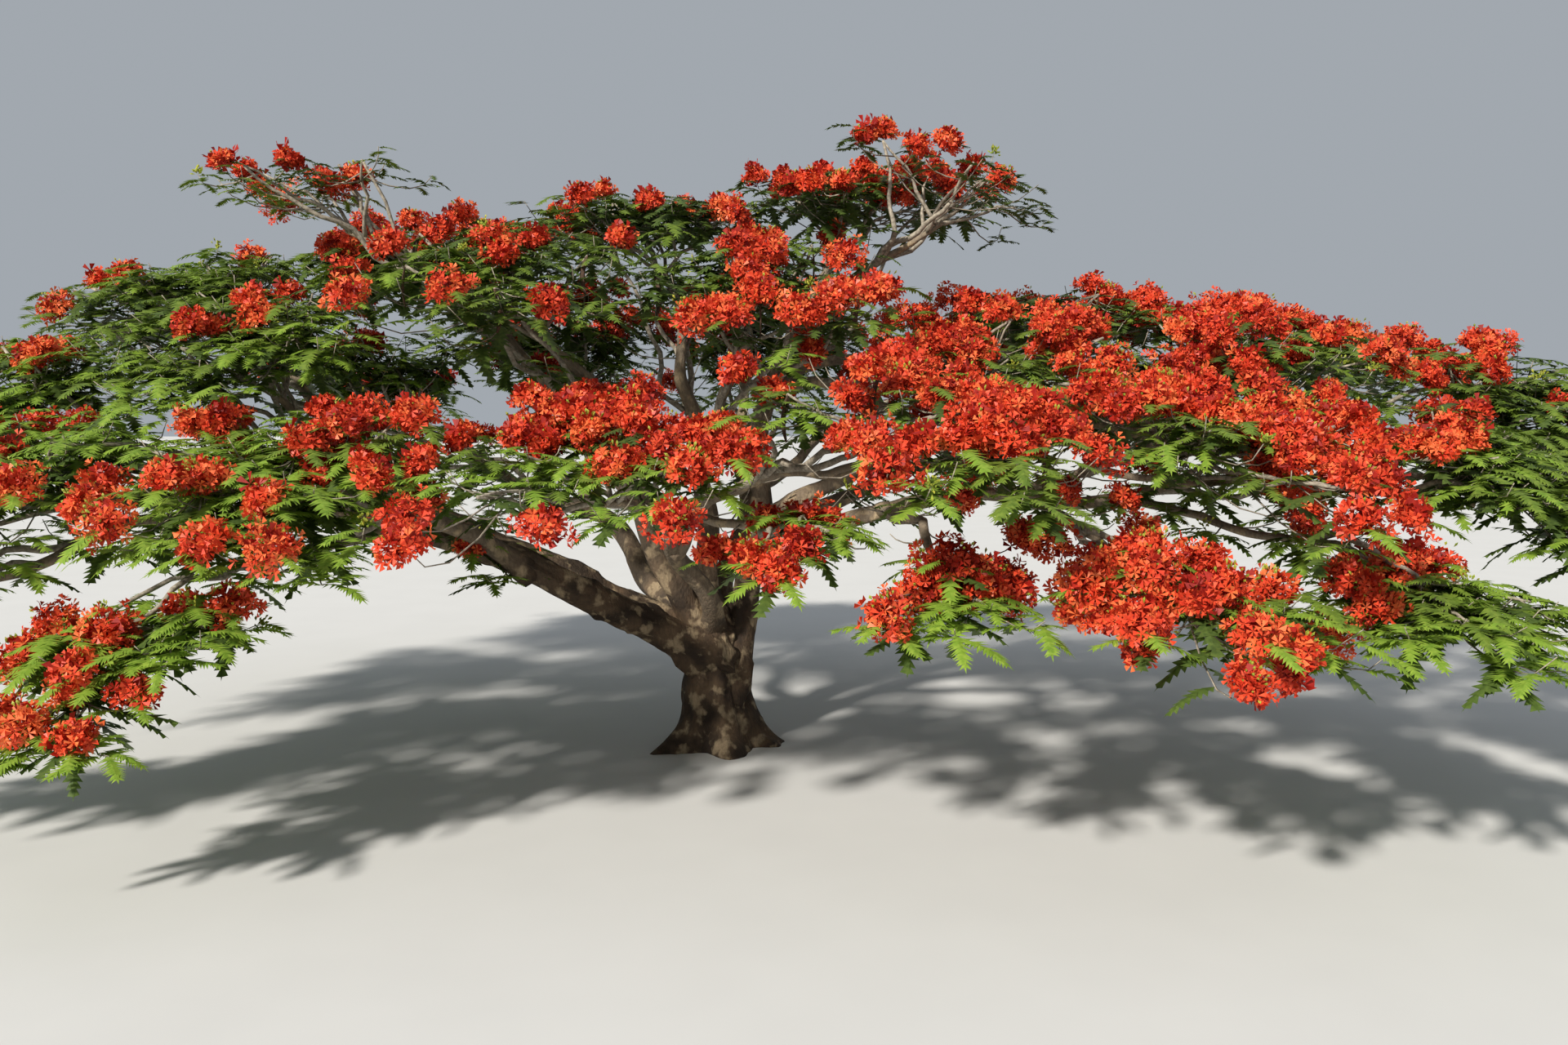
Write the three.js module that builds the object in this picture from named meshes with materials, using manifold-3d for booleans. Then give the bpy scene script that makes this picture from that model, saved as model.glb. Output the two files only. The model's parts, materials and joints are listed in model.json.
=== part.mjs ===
// A wide old flame tree in full bloom, in millimetres, +Z up, with its foot on the origin.
//
// The trunk carries boughs, the boughs carry limbs, and each of them leads along one smooth curve
// to the heart of a mass of foliage. The wood of a curve belongs to its bough or limb up to the
// point where it enters the mass, and from there on it is the stem of that mass. Twigs fan out of
// the stem by a seeded rule and carry flat sprays of leaves and low domes of blossom.
//
// Sizes below are in metres, as a tree is measured, and are turned into millimetres at the end.

import * as THREE from 'three';
import { mergeVertices } from 'three/addons/utils/BufferGeometryUtils.js';
import Module from 'manifold-3d';

const wasm = await Module();
wasm.setup();

const MILLIMETRES = 1000;
const GOLDEN_ANGLE = Math.PI * (3 - Math.sqrt(5));
const UP = new THREE.Vector3(0, 0, 1);

// Sizes of the spaces and gaps

const JOINT_GAP = 0.0003; // between a limb and the stub or stem that it meets
const LEAF_CLEARANCE = 0.012; // between foliage and any wood that isn't its own
const SPACE_MARGIN = 0.06; // between the spaces of two masses, in square metres of power
const FLATNESS = 1.7; // how much flatter than wide the spaces are
const WIDTH_WEIGHT = 0.3; // how far a wide mass pushes back the space of a narrow one
const WELD_MILLIMETRES = 0.01; // corners of a solid that are nearer than this are one

// The trunk. Its ribs stand out by a share of the radius, which is largest at the foot.
const TRUNK = { radius: 0.44, height: 1.5, taper: 0.12, flare: 0.34, flareHeight: 0.34 };
const RIBS = { count: 5, depth: 0.16, least: 0.35, fade: 0.5 };
const TRUNK_LEVELS = [0, 0.12, 0.3, 0.62, 1.05, TRUNK.height];
const TRUNK_SIDES = 15;
const TRUNK_LEAN = { x: -0.1, y: 0.05 };

// The rows of the crown from front to back. Each has a mass at every step, and the rows bend
// together towards both ends of the crown.
const ROW_STEP = 3.4;
const ROW_BEND = 14;
const ROW_WIDTH = 2.15;
const ROW_DEPTH = 2.0;
const ROW_HEART = -0.34;
const FALL_TO_SIDES = 0.022; // how much steeper the crown gets with each metre to the side
const HUB_BACK = 0.2; // how far a hub is set back towards the trunk, as a share of the half width

// name, depth, first, thickness, fall to the front, tops
const ROWS = [
  ['front', -4.7, -7.9, 1.4, 0.32, [4.7, 4.7, 4.75, 5.2, 5.0, 4.7]],
  ['mid_front', -1.6, -9.6, 1.9, 0.42, [5.7, 6.5, 7.3, 7.0, 6.15, 6.05, 5.6]],
  ['mid_back', 1.5, -8.0, 1.7, 0.15, [7.3, 7.8, 8.3, 8.6, 6.75, 6.3]],
  ['back', 4.8, -6.2, 2.1, -0.45, [6.1, 6.7, 7.0, 6.5, 5.7]],
];

// The masses that hang below the front row, and the two airy heads that stand out of the top.
// The heart is the height of the hub of the twigs over the middle, as a share of the thickness.
// name, x, y, top, thickness, half width, half depth, fall, heart, share of blossom
const LOW_AND_HIGH = [
  ['skirt_left_1', -5.6, -5.3, 3.0, 1.7, 1.45, 1.3, 0.45, 0, 0.7],
  ['skirt_left_2', -8.7, -4.6, 3.2, 1.6, 1.5, 1.3, 0.4, 0],
  ['skirt_middle', 1.15, -5.1, 3.8, 0.95, 1.1, 1.0, 0.2, 0],
  ['skirt_right_1', 2.6, -5.4, 3.35, 1.1, 1.25, 1.1, 0.2, 0],
  ['skirt_right_2', 4.9, -5.6, 3.3, 1.15, 1.5, 1.3, 0.2, 0],
  ['skirt_right_3', 7.6, -5.1, 3.3, 1.15, 1.5, 1.3, 0.2, 0],
  ['head_left', -5.2, -0.7, 8.25, 1.3, 1.65, 1.4, 0.05, -0.4, 0.6],
  ['head_right', 3.4, -0.3, 8.4, 1.4, 1.65, 1.4, 0.4, -0.4],
];

// Every bough and limb, with the mass that it leads to. It leaves its parent at a fraction of the
// parent's curve, rises at so many degrees, and arrives sloping by so many metres a metre.
// A row without a name is a mass that hangs on a short side stub of its parent.
// wood, parent, where on it, mass, rise, slope of arrival, radius at the fork
const LIMBS = [
  ['bough_left_low', 'trunk', 0.78, 'front_1', 36, -0.1, 0.24],
  ['bough_left', 'trunk', 0.9, 'mid_front_1', 33, 0.0, 0.22],
  ['bough_left_back', 'trunk', 0.8, 'back_1', 42, 0.05, 0.18],
  ['bough_upper_left', 'trunk', 1.0, 'mid_front_3', 50, 0.5, 0.2],
  ['bough_front', 'trunk', 0.95, 'front_3', 58, -0.1, 0.15],
  ['bough_middle', 'trunk', 1.0, 'mid_back_3', 68, 0.7, 0.18],
  ['bough_back', 'trunk', 0.85, 'back_3', 52, 0.1, 0.16],
  ['stem_right', 'trunk', 0.45, 'mid_back_4', 66, 0.9, 0.22],
  ['bough_right_front', 'stem_right', 0.27, 'front_6', 30, -0.1],
  ['bough_right', 'stem_right', 0.36, 'mid_front_7', 36, 0.0],
  ['bough_right_back', 'stem_right', 0.3, 'back_5', 40, 0.05],
  ['limb_front_2', 'bough_left_low', 0.34, 'front_2', 30, 0.0],
  ['limb_skirt_left_1', 'bough_left_low', 0.5, 'skirt_left_1', 5, -0.6],
  ['limb_mid_back_1', 'bough_left', 0.42, 'mid_back_1', 35, 0.3],
  ['limb_back_2', 'bough_left_back', 0.4, 'back_2', 45, 0.3],
  ['limb_head_left', 'bough_upper_left', 0.5, 'head_left', 50, 0.5],
  ['limb_mid_back_2', 'bough_upper_left', 0.36, 'mid_back_2', 50, 0.4],
  ['limb_front_4', 'bough_front', 0.36, 'front_4', 45, 0.0],
  ['limb_mid_front_4', 'bough_middle', 0.4, 'mid_front_4', 60, 0.4],
  ['limb_back_4', 'bough_back', 0.4, 'back_4', 45, 0.2],
  ['limb_mid_front_5', 'stem_right', 0.55, 'mid_front_5', 50, 0.3],
  ['limb_mid_back_5', 'stem_right', 0.6, 'mid_back_5', 48, 0.3],
  ['limb_front_5', 'bough_right_front', 0.42, 'front_5', 25, 0.0],
  ['limb_skirt_right_2', 'bough_right_front', 0.36, 'skirt_right_2', 5, -0.5],
  ['limb_mid_back_6', 'bough_right_back', 0.5, 'mid_back_6', 35, 0.2],
  [null, 'bough_left_low', 0.57, 'skirt_left_2', 0, -0.6],
  [null, 'bough_left', 0.55, 'mid_front_2', 45, 0.4],
  [null, 'bough_front', 0.52, 'skirt_middle', 0, -0.3],
  [null, 'bough_right_front', 0.24, 'skirt_right_1', 5, -0.4],
  [null, 'bough_right_front', 0.56, 'skirt_right_3', 0, -0.5],
  [null, 'bough_right', 0.58, 'mid_front_6', 40, 0.4],
  [null, 'stem_right', 0.72, 'head_right', 60, 0.6],
];

const MASS_ENTRY = 0.72; // how far from its hub a mass starts on its limb, as a share of its width
const HUB_RADIUS = 0.03; // radius of a stem at the heart of its mass
const FORK_THINNING = 0.74; // radius of a limb against its parent's at the fork
const TAPER_POWER = 0.9; // how evenly a limb thins towards its hub
const COLLAR = 0.22; // how much a limb swells where it leaves its parent
const COLLAR_LENGTH = 0.2;
const LEAVING_PULL = 0.36; // how far a limb keeps the direction in which it leaves, of its length
const ARRIVING_PULL = 0.34; // and the direction in which it arrives
const STUB_CLEARANCE = 0.02; // between a stub's end and the wood beside it
const STATION_LENGTH = 1.15; // between the rings of a limb
const STUB_STATION_LENGTH = 0.5;
const STEM_STATION_LENGTH = 1.0;
const BOUGH_SIDES = 8;
const LIMB_SIDES = 7;
const STEM_SIDES = 5;
const TWIG_SIDES = 3;

// A limb strays from its smooth curve in two waves to the side and two upward, given in turns over
// its length. The height is a share of the length, the second wave and the way up are lower.
const CROOK = { height: 0.028, sharpness: 0.8, second: 0.45, upward: 0.7 };
const CROOK_TURNS = { side: [1.3, 3.1], up: [1.1, 2.7] };

const TWIGS_PER_METRE = 2.9; // to a mass, for each metre of its half width
const TWIG_RADIUS = 0.022;
const TWIG_TAPER = 0.4;
const TWIG_LIFT = 0.12; // how far a twig bows upward
const STEM_TWIGS = 0.38; // the last share of the stem inside the mass, which bears the twigs
const SHRINKS = [1, 0.8, 0.6, 0.4]; // a twig that would leave its space is tried shorter

// Twigs end on a golden spiral that reaches this share of the half width, and each strays a little
// in reach, angle and height. The spiral lies on a dome whose height is a share of the thickness.
const SPIRAL = { reach: 0.78, start: 0.4, least: 0.94, spread: 0.12, turn: 0.3, lift: 0.14 };
const DOME = { rise: 0.5, sink: 0.22 };

// A spray is a star of flat leaves round the end of a twig. In bloom it carries a low dome.
const SPRAY = { length: 1.15, notch: 0.38, above: 0.06, below: 0.06, droop: 0.24 };
const SPRAY_MARGIN = 0.08; // between the places of two sprays of a mass, in square metres of power
const BARE_LEAVES = 5;
const BLOOM = { leaves: 4, radius: 0.5, height: 0.24, top: 0.4, below: 0.12 };
const FULL_SPRAY_WIDTH = 1.7; // masses of a smaller half width have smaller sprays
const SPRAY_SPREAD = { least: 0.9, spread: 0.2 };
const LEAF_SPREAD = { least: 0.85, spread: 0.3 };
const SPRAY_SIZES = [1, 0.75, 0.5, 0.35]; // a spray that would touch other wood is tried smaller
const LEAF_CUTS = [1, 0.85, 0.7, 0.55]; // a leaf that would leave its space is cut shorter, or left out
const BLOOM_SHARE = { middle: 0.62, perMetreRight: 0.03, least: 0.35, most: 0.9, red: 0.5 };
const POD = { length: 0.5, width: 0.07, thickness: 0.02, hook: 0.03, swing: 0.15 };
const POD_MASSES = ['mid_front_4', 'mid_front_3', 'front_4', 'mid_back_5', 'back_3'];

const SEEDS = { limb: 9001, nextLimb: 53, mass: 211, nextMass: 37, sprays: 50000 };

const COLOURS = {
  bark: { color: 0x6b5d50, roughness: 0.95 },
  leaf: { color: 0x5f8a2a, roughness: 0.75 },
  blossom: { color: 0xdb3d1c, roughness: 0.7 },
};

/** A repeatable source of numbers from 0 to 1. */
function seededDraws(seed) {
  let state = seed >>> 0;
  return () => {
    state = (state + 0x6d2b79f5) >>> 0;
    let mixed = state;
    mixed = Math.imul(mixed ^ (mixed >>> 15), mixed | 1);
    mixed ^= mixed + Math.imul(mixed ^ (mixed >>> 7), mixed | 61);
    return ((mixed ^ (mixed >>> 14)) >>> 0) / 4294967296;
  };
}

/** Every mass of the crown with its centre, hub, half sizes, fall and share of blossom. */
function crownPlan() {
  const masses = [];
  for (const [row, depth, first, thick, fallToFront, tops] of ROWS) {
    tops.forEach((top, i) => {
      const x = first + i * ROW_STEP;
      const y = depth * Math.sqrt(1 - (x / ROW_BEND) ** 2);
      const falls = { x: FALL_TO_SIDES * x, y: -fallToFront };
      const sizes = { top, thick, width: ROW_WIDTH, depth: ROW_DEPTH };
      masses.push({ name: `${row}_${i + 1}`, x, y, ...sizes, falls, heart: ROW_HEART });
    });
  }
  for (const [name, x, y, top, thick, width, depth, fall, heart, bloom] of LOW_AND_HIGH) {
    const falls = new THREE.Vector2(x, y).setLength(fall);
    masses.push({ name, x, y, top, thick, width, depth, falls, heart, bloom });
  }
  return masses.map((mass, i) => {
    const outward = new THREE.Vector3(mass.x, mass.y, 0).normalize();
    const centre = new THREE.Vector3(mass.x, mass.y, mass.top - mass.thick / 2);
    const hub = centre.clone().addScaledVector(outward, -HUB_BACK * mass.width);
    const fall = fallAt(mass, mass.width * outward.x, mass.width * outward.y);
    hub.z += mass.heart * mass.thick + HUB_BACK * fall;
    const share = BLOOM_SHARE.middle + BLOOM_SHARE.perMetreRight * mass.x;
    const bloom = mass.bloom ?? THREE.MathUtils.clamp(share, BLOOM_SHARE.least, BLOOM_SHARE.most);
    return { ...mass, seed: SEEDS.mass + SEEDS.nextMass * i, centre, hub, bloom };
  });
}

/** How much lower than its middle a mass lies at a point to its side. */
function fallAt(mass, dx, dy) {
  return mass.falls.x * dx + mass.falls.y * dy;
}

/** Whether a point lies in the mass's own space, which is nearer to its centre than to any other's. */
function inSpace(mass, masses, point) {
  const power = (other) => {
    const side = (point.x - other.x) ** 2 + (point.y - other.y) ** 2;
    const rise = FLATNESS * (point.z - other.centre.z);
    return side + rise ** 2 - WIDTH_WEIGHT * other.width ** 2;
  };
  const own = power(mass);
  return masses.every((other) => other === mass || own + SPACE_MARGIN < power(other));
}

// Curves of the wood

/** The trunk's axis, with the radius of its round core. */
class TrunkCurve extends THREE.LineCurve3 {
  constructor() {
    super(new THREE.Vector3(), new THREE.Vector3(TRUNK_LEAN.x, TRUNK_LEAN.y, TRUNK.height));
  }

  radiusAt(t) {
    return TRUNK.radius * (1 - TRUNK.taper * t);
  }
}

/** A limb: a smooth curve from its parent to a hub, made crooked, with a tapering radius. */
class LimbCurve extends THREE.CubicBezierCurve3 {
  constructor(parent, row, mass, draw) {
    const start = parent.getPoint(row.at);
    const toHub = mass.hub.clone().sub(start);
    const length = toHub.length();
    const level = new THREE.Vector3(toHub.x, toHub.y, 0).normalize();
    const rise = THREE.MathUtils.degToRad(row.rise);
    const leave = level.clone().multiplyScalar(Math.cos(rise)).addScaledVector(UP, Math.sin(rise));
    const arrive = level.clone().addScaledVector(UP, row.arrive).normalize();
    super(
      start,
      start.clone().addScaledVector(leave, LEAVING_PULL * length),
      mass.hub.clone().addScaledVector(arrive, -ARRIVING_PULL * length),
      mass.hub.clone(),
    );
    this.run = length;
    this.base = row.radius ?? FORK_THINNING * parent.radiusAt(row.at);
    this.level = new THREE.Vector3(-level.y, level.x, 0);
    this.phases = [draw(), draw(), draw(), draw()].map((part) => part * 2 * Math.PI);
  }

  getPoint(t, target = new THREE.Vector3()) {
    const point = super.getPoint(t, target);
    if (!this.phases) {
      return point;
    }
    const [a, b, c, d] = this.phases;
    const wave = (turns, phase) => Math.sin(2 * Math.PI * turns * t + phase);
    const stray = CROOK.height * this.run * Math.max(0, Math.sin(Math.PI * t)) ** CROOK.sharpness;
    const sideways = stray * (wave(CROOK_TURNS.side[0], a) + CROOK.second * wave(CROOK_TURNS.side[1], b));
    const upward = stray * (wave(CROOK_TURNS.up[0], c) + CROOK.second * wave(CROOK_TURNS.up[1], d));
    return point.addScaledVector(this.level, sideways).addScaledVector(UP, CROOK.upward * upward);
  }

  radiusAt(t) {
    const taper = HUB_RADIUS + (this.base - HUB_RADIUS) * Math.max(0, 1 - t) ** TAPER_POWER;
    return taper + COLLAR * this.base * Math.exp(-(t * this.run) / COLLAR_LENGTH);
  }

  /** The fraction of the curve that a step of so many metres takes at t. */
  stepAt(t, metres) {
    const probe = 0.001;
    const next = this.getPoint(Math.min(t + probe, 1 - probe));
    return (metres * probe) / this.getPoint(t).distanceTo(next);
  }

  /** The two directions square to the curve at t. */
  frameAt(t) {
    const tangent = this.getTangent(t);
    const over = new THREE.Vector3().crossVectors(tangent, this.level).normalize();
    return { across: new THREE.Vector3().crossVectors(over, tangent), over };
  }
}

/** The least distance between the wood around one curve at t and the wood around another. */
function woodSpacing(curve, t, other) {
  const point = curve.getPoint(t);
  const step = 0.01;
  let least = Infinity;
  for (let u = 0; u <= 1; u += step) {
    least = Math.min(least, point.distanceTo(other.getPoint(u)) - other.radiusAt(u));
  }
  return least - curve.radiusAt(t);
}

/** Where a limb has come clear of its parent and of everything else that leaves that parent. */
function clearStation(curve, others) {
  const step = 0.005;
  const farthest = 0.7;
  for (let t = step; t < farthest; t += step) {
    if (others.every((other) => woodSpacing(curve, t, other) > STUB_CLEARANCE)) {
      return t;
    }
  }
  throw new Error('a limb never comes clear of its neighbours');
}

// Solids

/** A closed geometry in metres as a solid in millimetres. */
function toSolid(geometry) {
  const bare = geometry.clone().scale(MILLIMETRES, MILLIMETRES, MILLIMETRES);
  bare.deleteAttribute('normal');
  bare.deleteAttribute('uv');
  const merged = mergeVertices(bare, WELD_MILLIMETRES);
  const corners = merged.getIndex().array;
  const kept = [];
  for (let i = 0; i < corners.length; i += 3) {
    const [a, b, c] = [corners[i], corners[i + 1], corners[i + 2]];
    if (a !== b && b !== c && c !== a) {
      kept.push(a, b, c);
    }
  }
  const vertProperties = merged.getAttribute('position').array;
  const make = (triVerts) => new wasm.Manifold(new wasm.Mesh({ numProp: 3, vertProperties, triVerts }));
  const solid = make(Uint32Array.from(kept));
  if (solid.volume() > 0) {
    return solid;
  }
  return make(Uint32Array.from(kept).reverse());
}

/** Solids joined to the first as one closed body. Loose scraps and sealed hollows are left out. */
function fuse(solids) {
  const bodies = wasm.Manifold.union(solids).decompose();
  const shared = bodies.map((body) => body.intersect(solids[0]).volume());
  return bodies[shared.indexOf(Math.max(...shared))];
}

/** A turned profile bent along a curve from t0 to t1: a tapering limb with flat or pointed ends. */
function limbGeometry(curve, t0, t1, steps, sides, pointed = false) {
  const stations = Array.from({ length: steps + 1 }, (_, i) => t0 + ((t1 - t0) * i) / steps);
  const profile = stations.map((t) => new THREE.Vector2(curve.radiusAt(t), t));
  if (pointed) {
    profile[steps].x = 0;
  } else {
    profile.push(new THREE.Vector2(0, t1));
  }
  profile.unshift(new THREE.Vector2(0, t0));
  const geometry = new THREE.LatheGeometry(profile, sides);
  const position = geometry.getAttribute('position');
  for (let k = 0; k < position.count; k += 1) {
    const side = Math.floor(k / profile.length) % sides;
    const { x: radius, y: t } = profile[k % profile.length];
    const { across, over } = curve.frameAt(t);
    const angle = (2 * Math.PI * side) / sides;
    const point = curve.getPoint(t);
    point.addScaledVector(across, radius * Math.cos(angle));
    point.addScaledVector(over, radius * Math.sin(angle));
    position.setXYZ(k, point.x, point.y, point.z);
  }
  return geometry;
}

/** The trunk: a turned profile with a flare at the foot that runs out in ribs. */
function trunkGeometry() {
  const profile = TRUNK_LEVELS.map((z) => {
    const core = TRUNK.radius * (1 - (TRUNK.taper * z) / TRUNK.height);
    return new THREE.Vector2(core + TRUNK.flare * Math.exp(-z / TRUNK.flareHeight), z);
  });
  profile.unshift(new THREE.Vector2(0, 0));
  profile.push(new THREE.Vector2(0, TRUNK.height));
  const geometry = new THREE.LatheGeometry(profile, TRUNK_SIDES);
  const position = geometry.getAttribute('position');
  for (let k = 0; k < position.count; k += 1) {
    const side = Math.floor(k / profile.length) % TRUNK_SIDES;
    const { x: radius, y: z } = profile[k % profile.length];
    const angle = (2 * Math.PI * side) / TRUNK_SIDES;
    const rib = RIBS.depth * (RIBS.least + Math.exp(-z / RIBS.fade));
    const reach = radius * (1 + rib * Math.cos(RIBS.count * angle));
    const lean = z / TRUNK.height;
    position.setXYZ(
      k,
      reach * Math.cos(angle) + TRUNK_LEAN.x * lean,
      reach * Math.sin(angle) + TRUNK_LEAN.y * lean,
      z,
    );
  }
  return geometry;
}

/** The corners of a geometry as vectors. */
function cornersOf(geometry) {
  const position = geometry.getAttribute('position');
  const cornerAt = (_, k) => new THREE.Vector3().fromBufferAttribute(position, k);
  return Array.from({ length: position.count }, cornerAt);
}

// The wood

const masses = crownPlan();
const massNamed = new Map(masses.map((mass) => [mass.name, mass]));
const trunk = { wood: 'trunk', curve: new TrunkCurve(), children: [] };
const limbNamed = new Map([['trunk', trunk]]);
const limbs = LIMBS.map(([wood, from, at, to, rise, arrive, radius], i) => {
  const parent = limbNamed.get(from);
  const mass = massNamed.get(to);
  const draw = seededDraws(SEEDS.limb + SEEDS.nextLimb * i);
  const curve = new LimbCurve(parent.curve, { at, rise, arrive, radius }, mass, draw);
  const limb = { wood, from, parent, mass, curve, children: [] };
  parent.children.push(limb);
  if (wood) {
    limbNamed.set(wood, limb);
  }
  return limb;
});
for (const limb of limbs) {
  const around = limb.parent.children.filter((other) => other !== limb).map((other) => other.curve);
  limb.leaves = clearStation(limb.curve, [limb.parent.curve, ...around]);
}
const nearHub = 0.95;
for (const limb of limbs) {
  limb.enters = 1 - limb.curve.stepAt(nearHub, MASS_ENTRY * limb.mass.width);
  limb.ends = limb.wood ? limb.enters : limb.leaves;
}

/** The number of flat sides of a bough, or of a thinner limb. */
function sidesOf(limb) {
  return limb.from === 'trunk' ? BOUGH_SIDES : LIMB_SIDES;
}

/** The first part of a limb, as its parent carries it. */
function stubSolid(limb) {
  const steps = Math.max(1, Math.round((limb.leaves * limb.curve.run) / STUB_STATION_LENGTH));
  return toSolid(limbGeometry(limb.curve, 0, limb.leaves, steps, sidesOf(limb)));
}

const woodSolids = new Map();
woodSolids.set('trunk', fuse([toSolid(trunkGeometry()), ...trunk.children.map(stubSolid)]));
for (const limb of limbs.filter((one) => one.wood)) {
  const { curve, leaves, ends } = limb;
  const start = leaves + curve.stepAt(leaves, JOINT_GAP);
  const steps = Math.max(2, Math.round(((ends - leaves) * curve.run) / STATION_LENGTH));
  const own = toSolid(limbGeometry(curve, start, ends, steps, sidesOf(limb)));
  woodSolids.set(limb.wood, fuse([own, ...limb.children.map(stubSolid)]));
}

// The foliage

/** A twig from the stem of its mass to its own place under the top of the mass. */
class TwigCurve extends THREE.QuadraticBezierCurve3 {
  constructor(start, end, lift) {
    const middle = start.clone().lerp(end, 0.5).addScaledVector(UP, lift);
    super(start, middle, end);
    this.level = new THREE.Vector3(start.y - end.y, end.x - start.x, 0).normalize();
  }

  radiusAt(t) {
    return TWIG_RADIUS * (1 - TWIG_TAPER * t);
  }

  frameAt(t) {
    const over = new THREE.Vector3().crossVectors(this.getTangent(t), this.level).normalize();
    return { across: this.level, over };
  }
}

/** Where the twigs of a mass start and end, and which of them bloom. */
function twigPlan(limb) {
  const { mass, curve, enters } = limb;
  const draw = seededDraws(mass.seed);
  const spin = 2 * Math.PI * draw();
  const count = Math.round(TWIGS_PER_METRE * mass.width);
  return Array.from({ length: count }, (_, k) => {
    const stray = SPIRAL.least + SPIRAL.spread * draw();
    const reach = SPIRAL.reach * Math.sqrt((k + SPIRAL.start) / count) * stray;
    const angle = spin + k * GOLDEN_ANGLE + SPIRAL.turn * (draw() - 0.5);
    const lift = SPIRAL.lift * (draw() - 0.5);
    const blooms = draw() < mass.bloom;
    const t = 1 - (1 - enters) * STEM_TWIGS * (1 - k / count);
    const endAt = (shrink) => {
      const dx = mass.width * shrink * reach * Math.cos(angle);
      const dy = mass.depth * shrink * reach * Math.sin(angle);
      const dome = DOME.rise * Math.sqrt(1 - (shrink * reach) ** 2) - DOME.sink + lift;
      const z = mass.centre.z + mass.thick * dome - fallAt(mass, dx, dy);
      return new THREE.Vector3(mass.x + dx, mass.y + dy, z);
    };
    const shrink = SHRINKS.find((one) => inSpace(mass, masses, endAt(one))) ?? SHRINKS.at(-1);
    return { start: curve.getPoint(t), end: endAt(shrink), angle, blooms };
  });
}

/** Turns the level plane of a spray to the slope of its mass, round a point. */
function layOnSlope(mass, at, local) {
  const normal = new THREE.Vector3(mass.falls.x, mass.falls.y, 1).normalize();
  const turn = new THREE.Quaternion().setFromUnitVectors(UP, normal);
  return local.applyQuaternion(turn).add(at);
}

/** A star of leaves round the end of a twig, with a dome of blossom on it where it blooms. */
function sprayGeometry(mass, twig, twigs, size, draw) {
  const ownSide = (point) => twigs.every((other) => {
    const apart = point.distanceToSquared(other.end) - point.distanceToSquared(twig.end);
    return other === twig || apart > SPRAY_MARGIN;
  });
  const { leaves } = twig.blooms ? BLOOM : { leaves: BARE_LEAVES };
  const sides = 2 * leaves;
  const { length, notch, droop } = SPRAY;
  const below = twig.blooms ? BLOOM.below : SPRAY.below;
  const profile = [new THREE.Vector2(0, -below), new THREE.Vector2(length, 0)];
  if (twig.blooms) {
    profile.push(new THREE.Vector2(BLOOM.radius, BLOOM.height), new THREE.Vector2(0, BLOOM.top));
  } else {
    profile.push(new THREE.Vector2(0, SPRAY.above));
  }
  const tips = Array.from({ length: leaves }, () => LEAF_SPREAD.least + LEAF_SPREAD.spread * draw());
  const geometry = new THREE.LatheGeometry(profile, sides);
  const position = geometry.getAttribute('position');
  for (let k = 0; k < position.count; k += 1) {
    const side = Math.floor(k / profile.length) % sides;
    const ring = k % profile.length;
    const angle = twig.angle + (2 * Math.PI * side) / sides;
    const place = (radius, z) => {
      const local = new THREE.Vector3(radius * Math.cos(angle), radius * Math.sin(angle), z);
      return layOnSlope(mass, twig.end, local.multiplyScalar(size));
    };
    let point = place(profile[ring].x, profile[ring].y);
    if (ring === 1) {
      point = place(notch, 0);
      if (side % 2 === 0) {
        const cuts = LEAF_CUTS.map((cut) => place(length * tips[side / 2] * cut, -droop * cut));
        point = cuts.find((tip) => ownSide(tip) && inSpace(mass, masses, tip)) ?? point;
      }
    }
    position.setXYZ(k, point.x, point.y, point.z);
  }
  return geometry;
}

/** A long flat pod that hangs from the end of a twig. */
function podGeometry(at, angle) {
  const geometry = new THREE.OctahedronGeometry(1);
  geometry.scale(POD.width / 2, POD.thickness / 2, POD.length / 2);
  geometry.translate(0, 0, POD.hook - POD.length / 2);
  geometry.rotateX(POD.swing).rotateZ(angle);
  return geometry.translate(at.x, at.y, at.z);
}

/** The stem of a mass, which goes on from the tip of its limb. */
function stemSolid(limb) {
  const { curve, ends } = limb;
  const start = ends + curve.stepAt(ends, JOINT_GAP);
  const steps = Math.max(2, Math.round(((1 - start) * curve.run) / STEM_STATION_LENGTH));
  return toSolid(limbGeometry(curve, start, 1, steps, STEM_SIDES));
}

/** Whether two boxes of solids come within a distance, in millimetres, of each other. */
function boxesNear(a, b, distance) {
  return [0, 1, 2].every((i) => a.min[i] - distance < b.max[i] && b.min[i] - distance < a.max[i]);
}

const stems = new Map(limbs.map((limb) => [limb.mass.name, stemSolid(limb)]));

/** The solid of a piece of a mass, or nothing where it would leave its space or touch other wood. */
function freeSolid(geometry, mass, obstacles) {
  if (!cornersOf(geometry).every((corner) => inSpace(mass, masses, corner))) {
    return null;
  }
  const solid = toSolid(geometry);
  const clearance = LEAF_CLEARANCE * MILLIMETRES;
  const box = solid.boundingBox();
  const near = obstacles.filter((other) => boxesNear(box, other.box, clearance));
  return near.some((other) => solid.minGap(other.solid, 2 * clearance) < clearance) ? null : solid;
}

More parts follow.
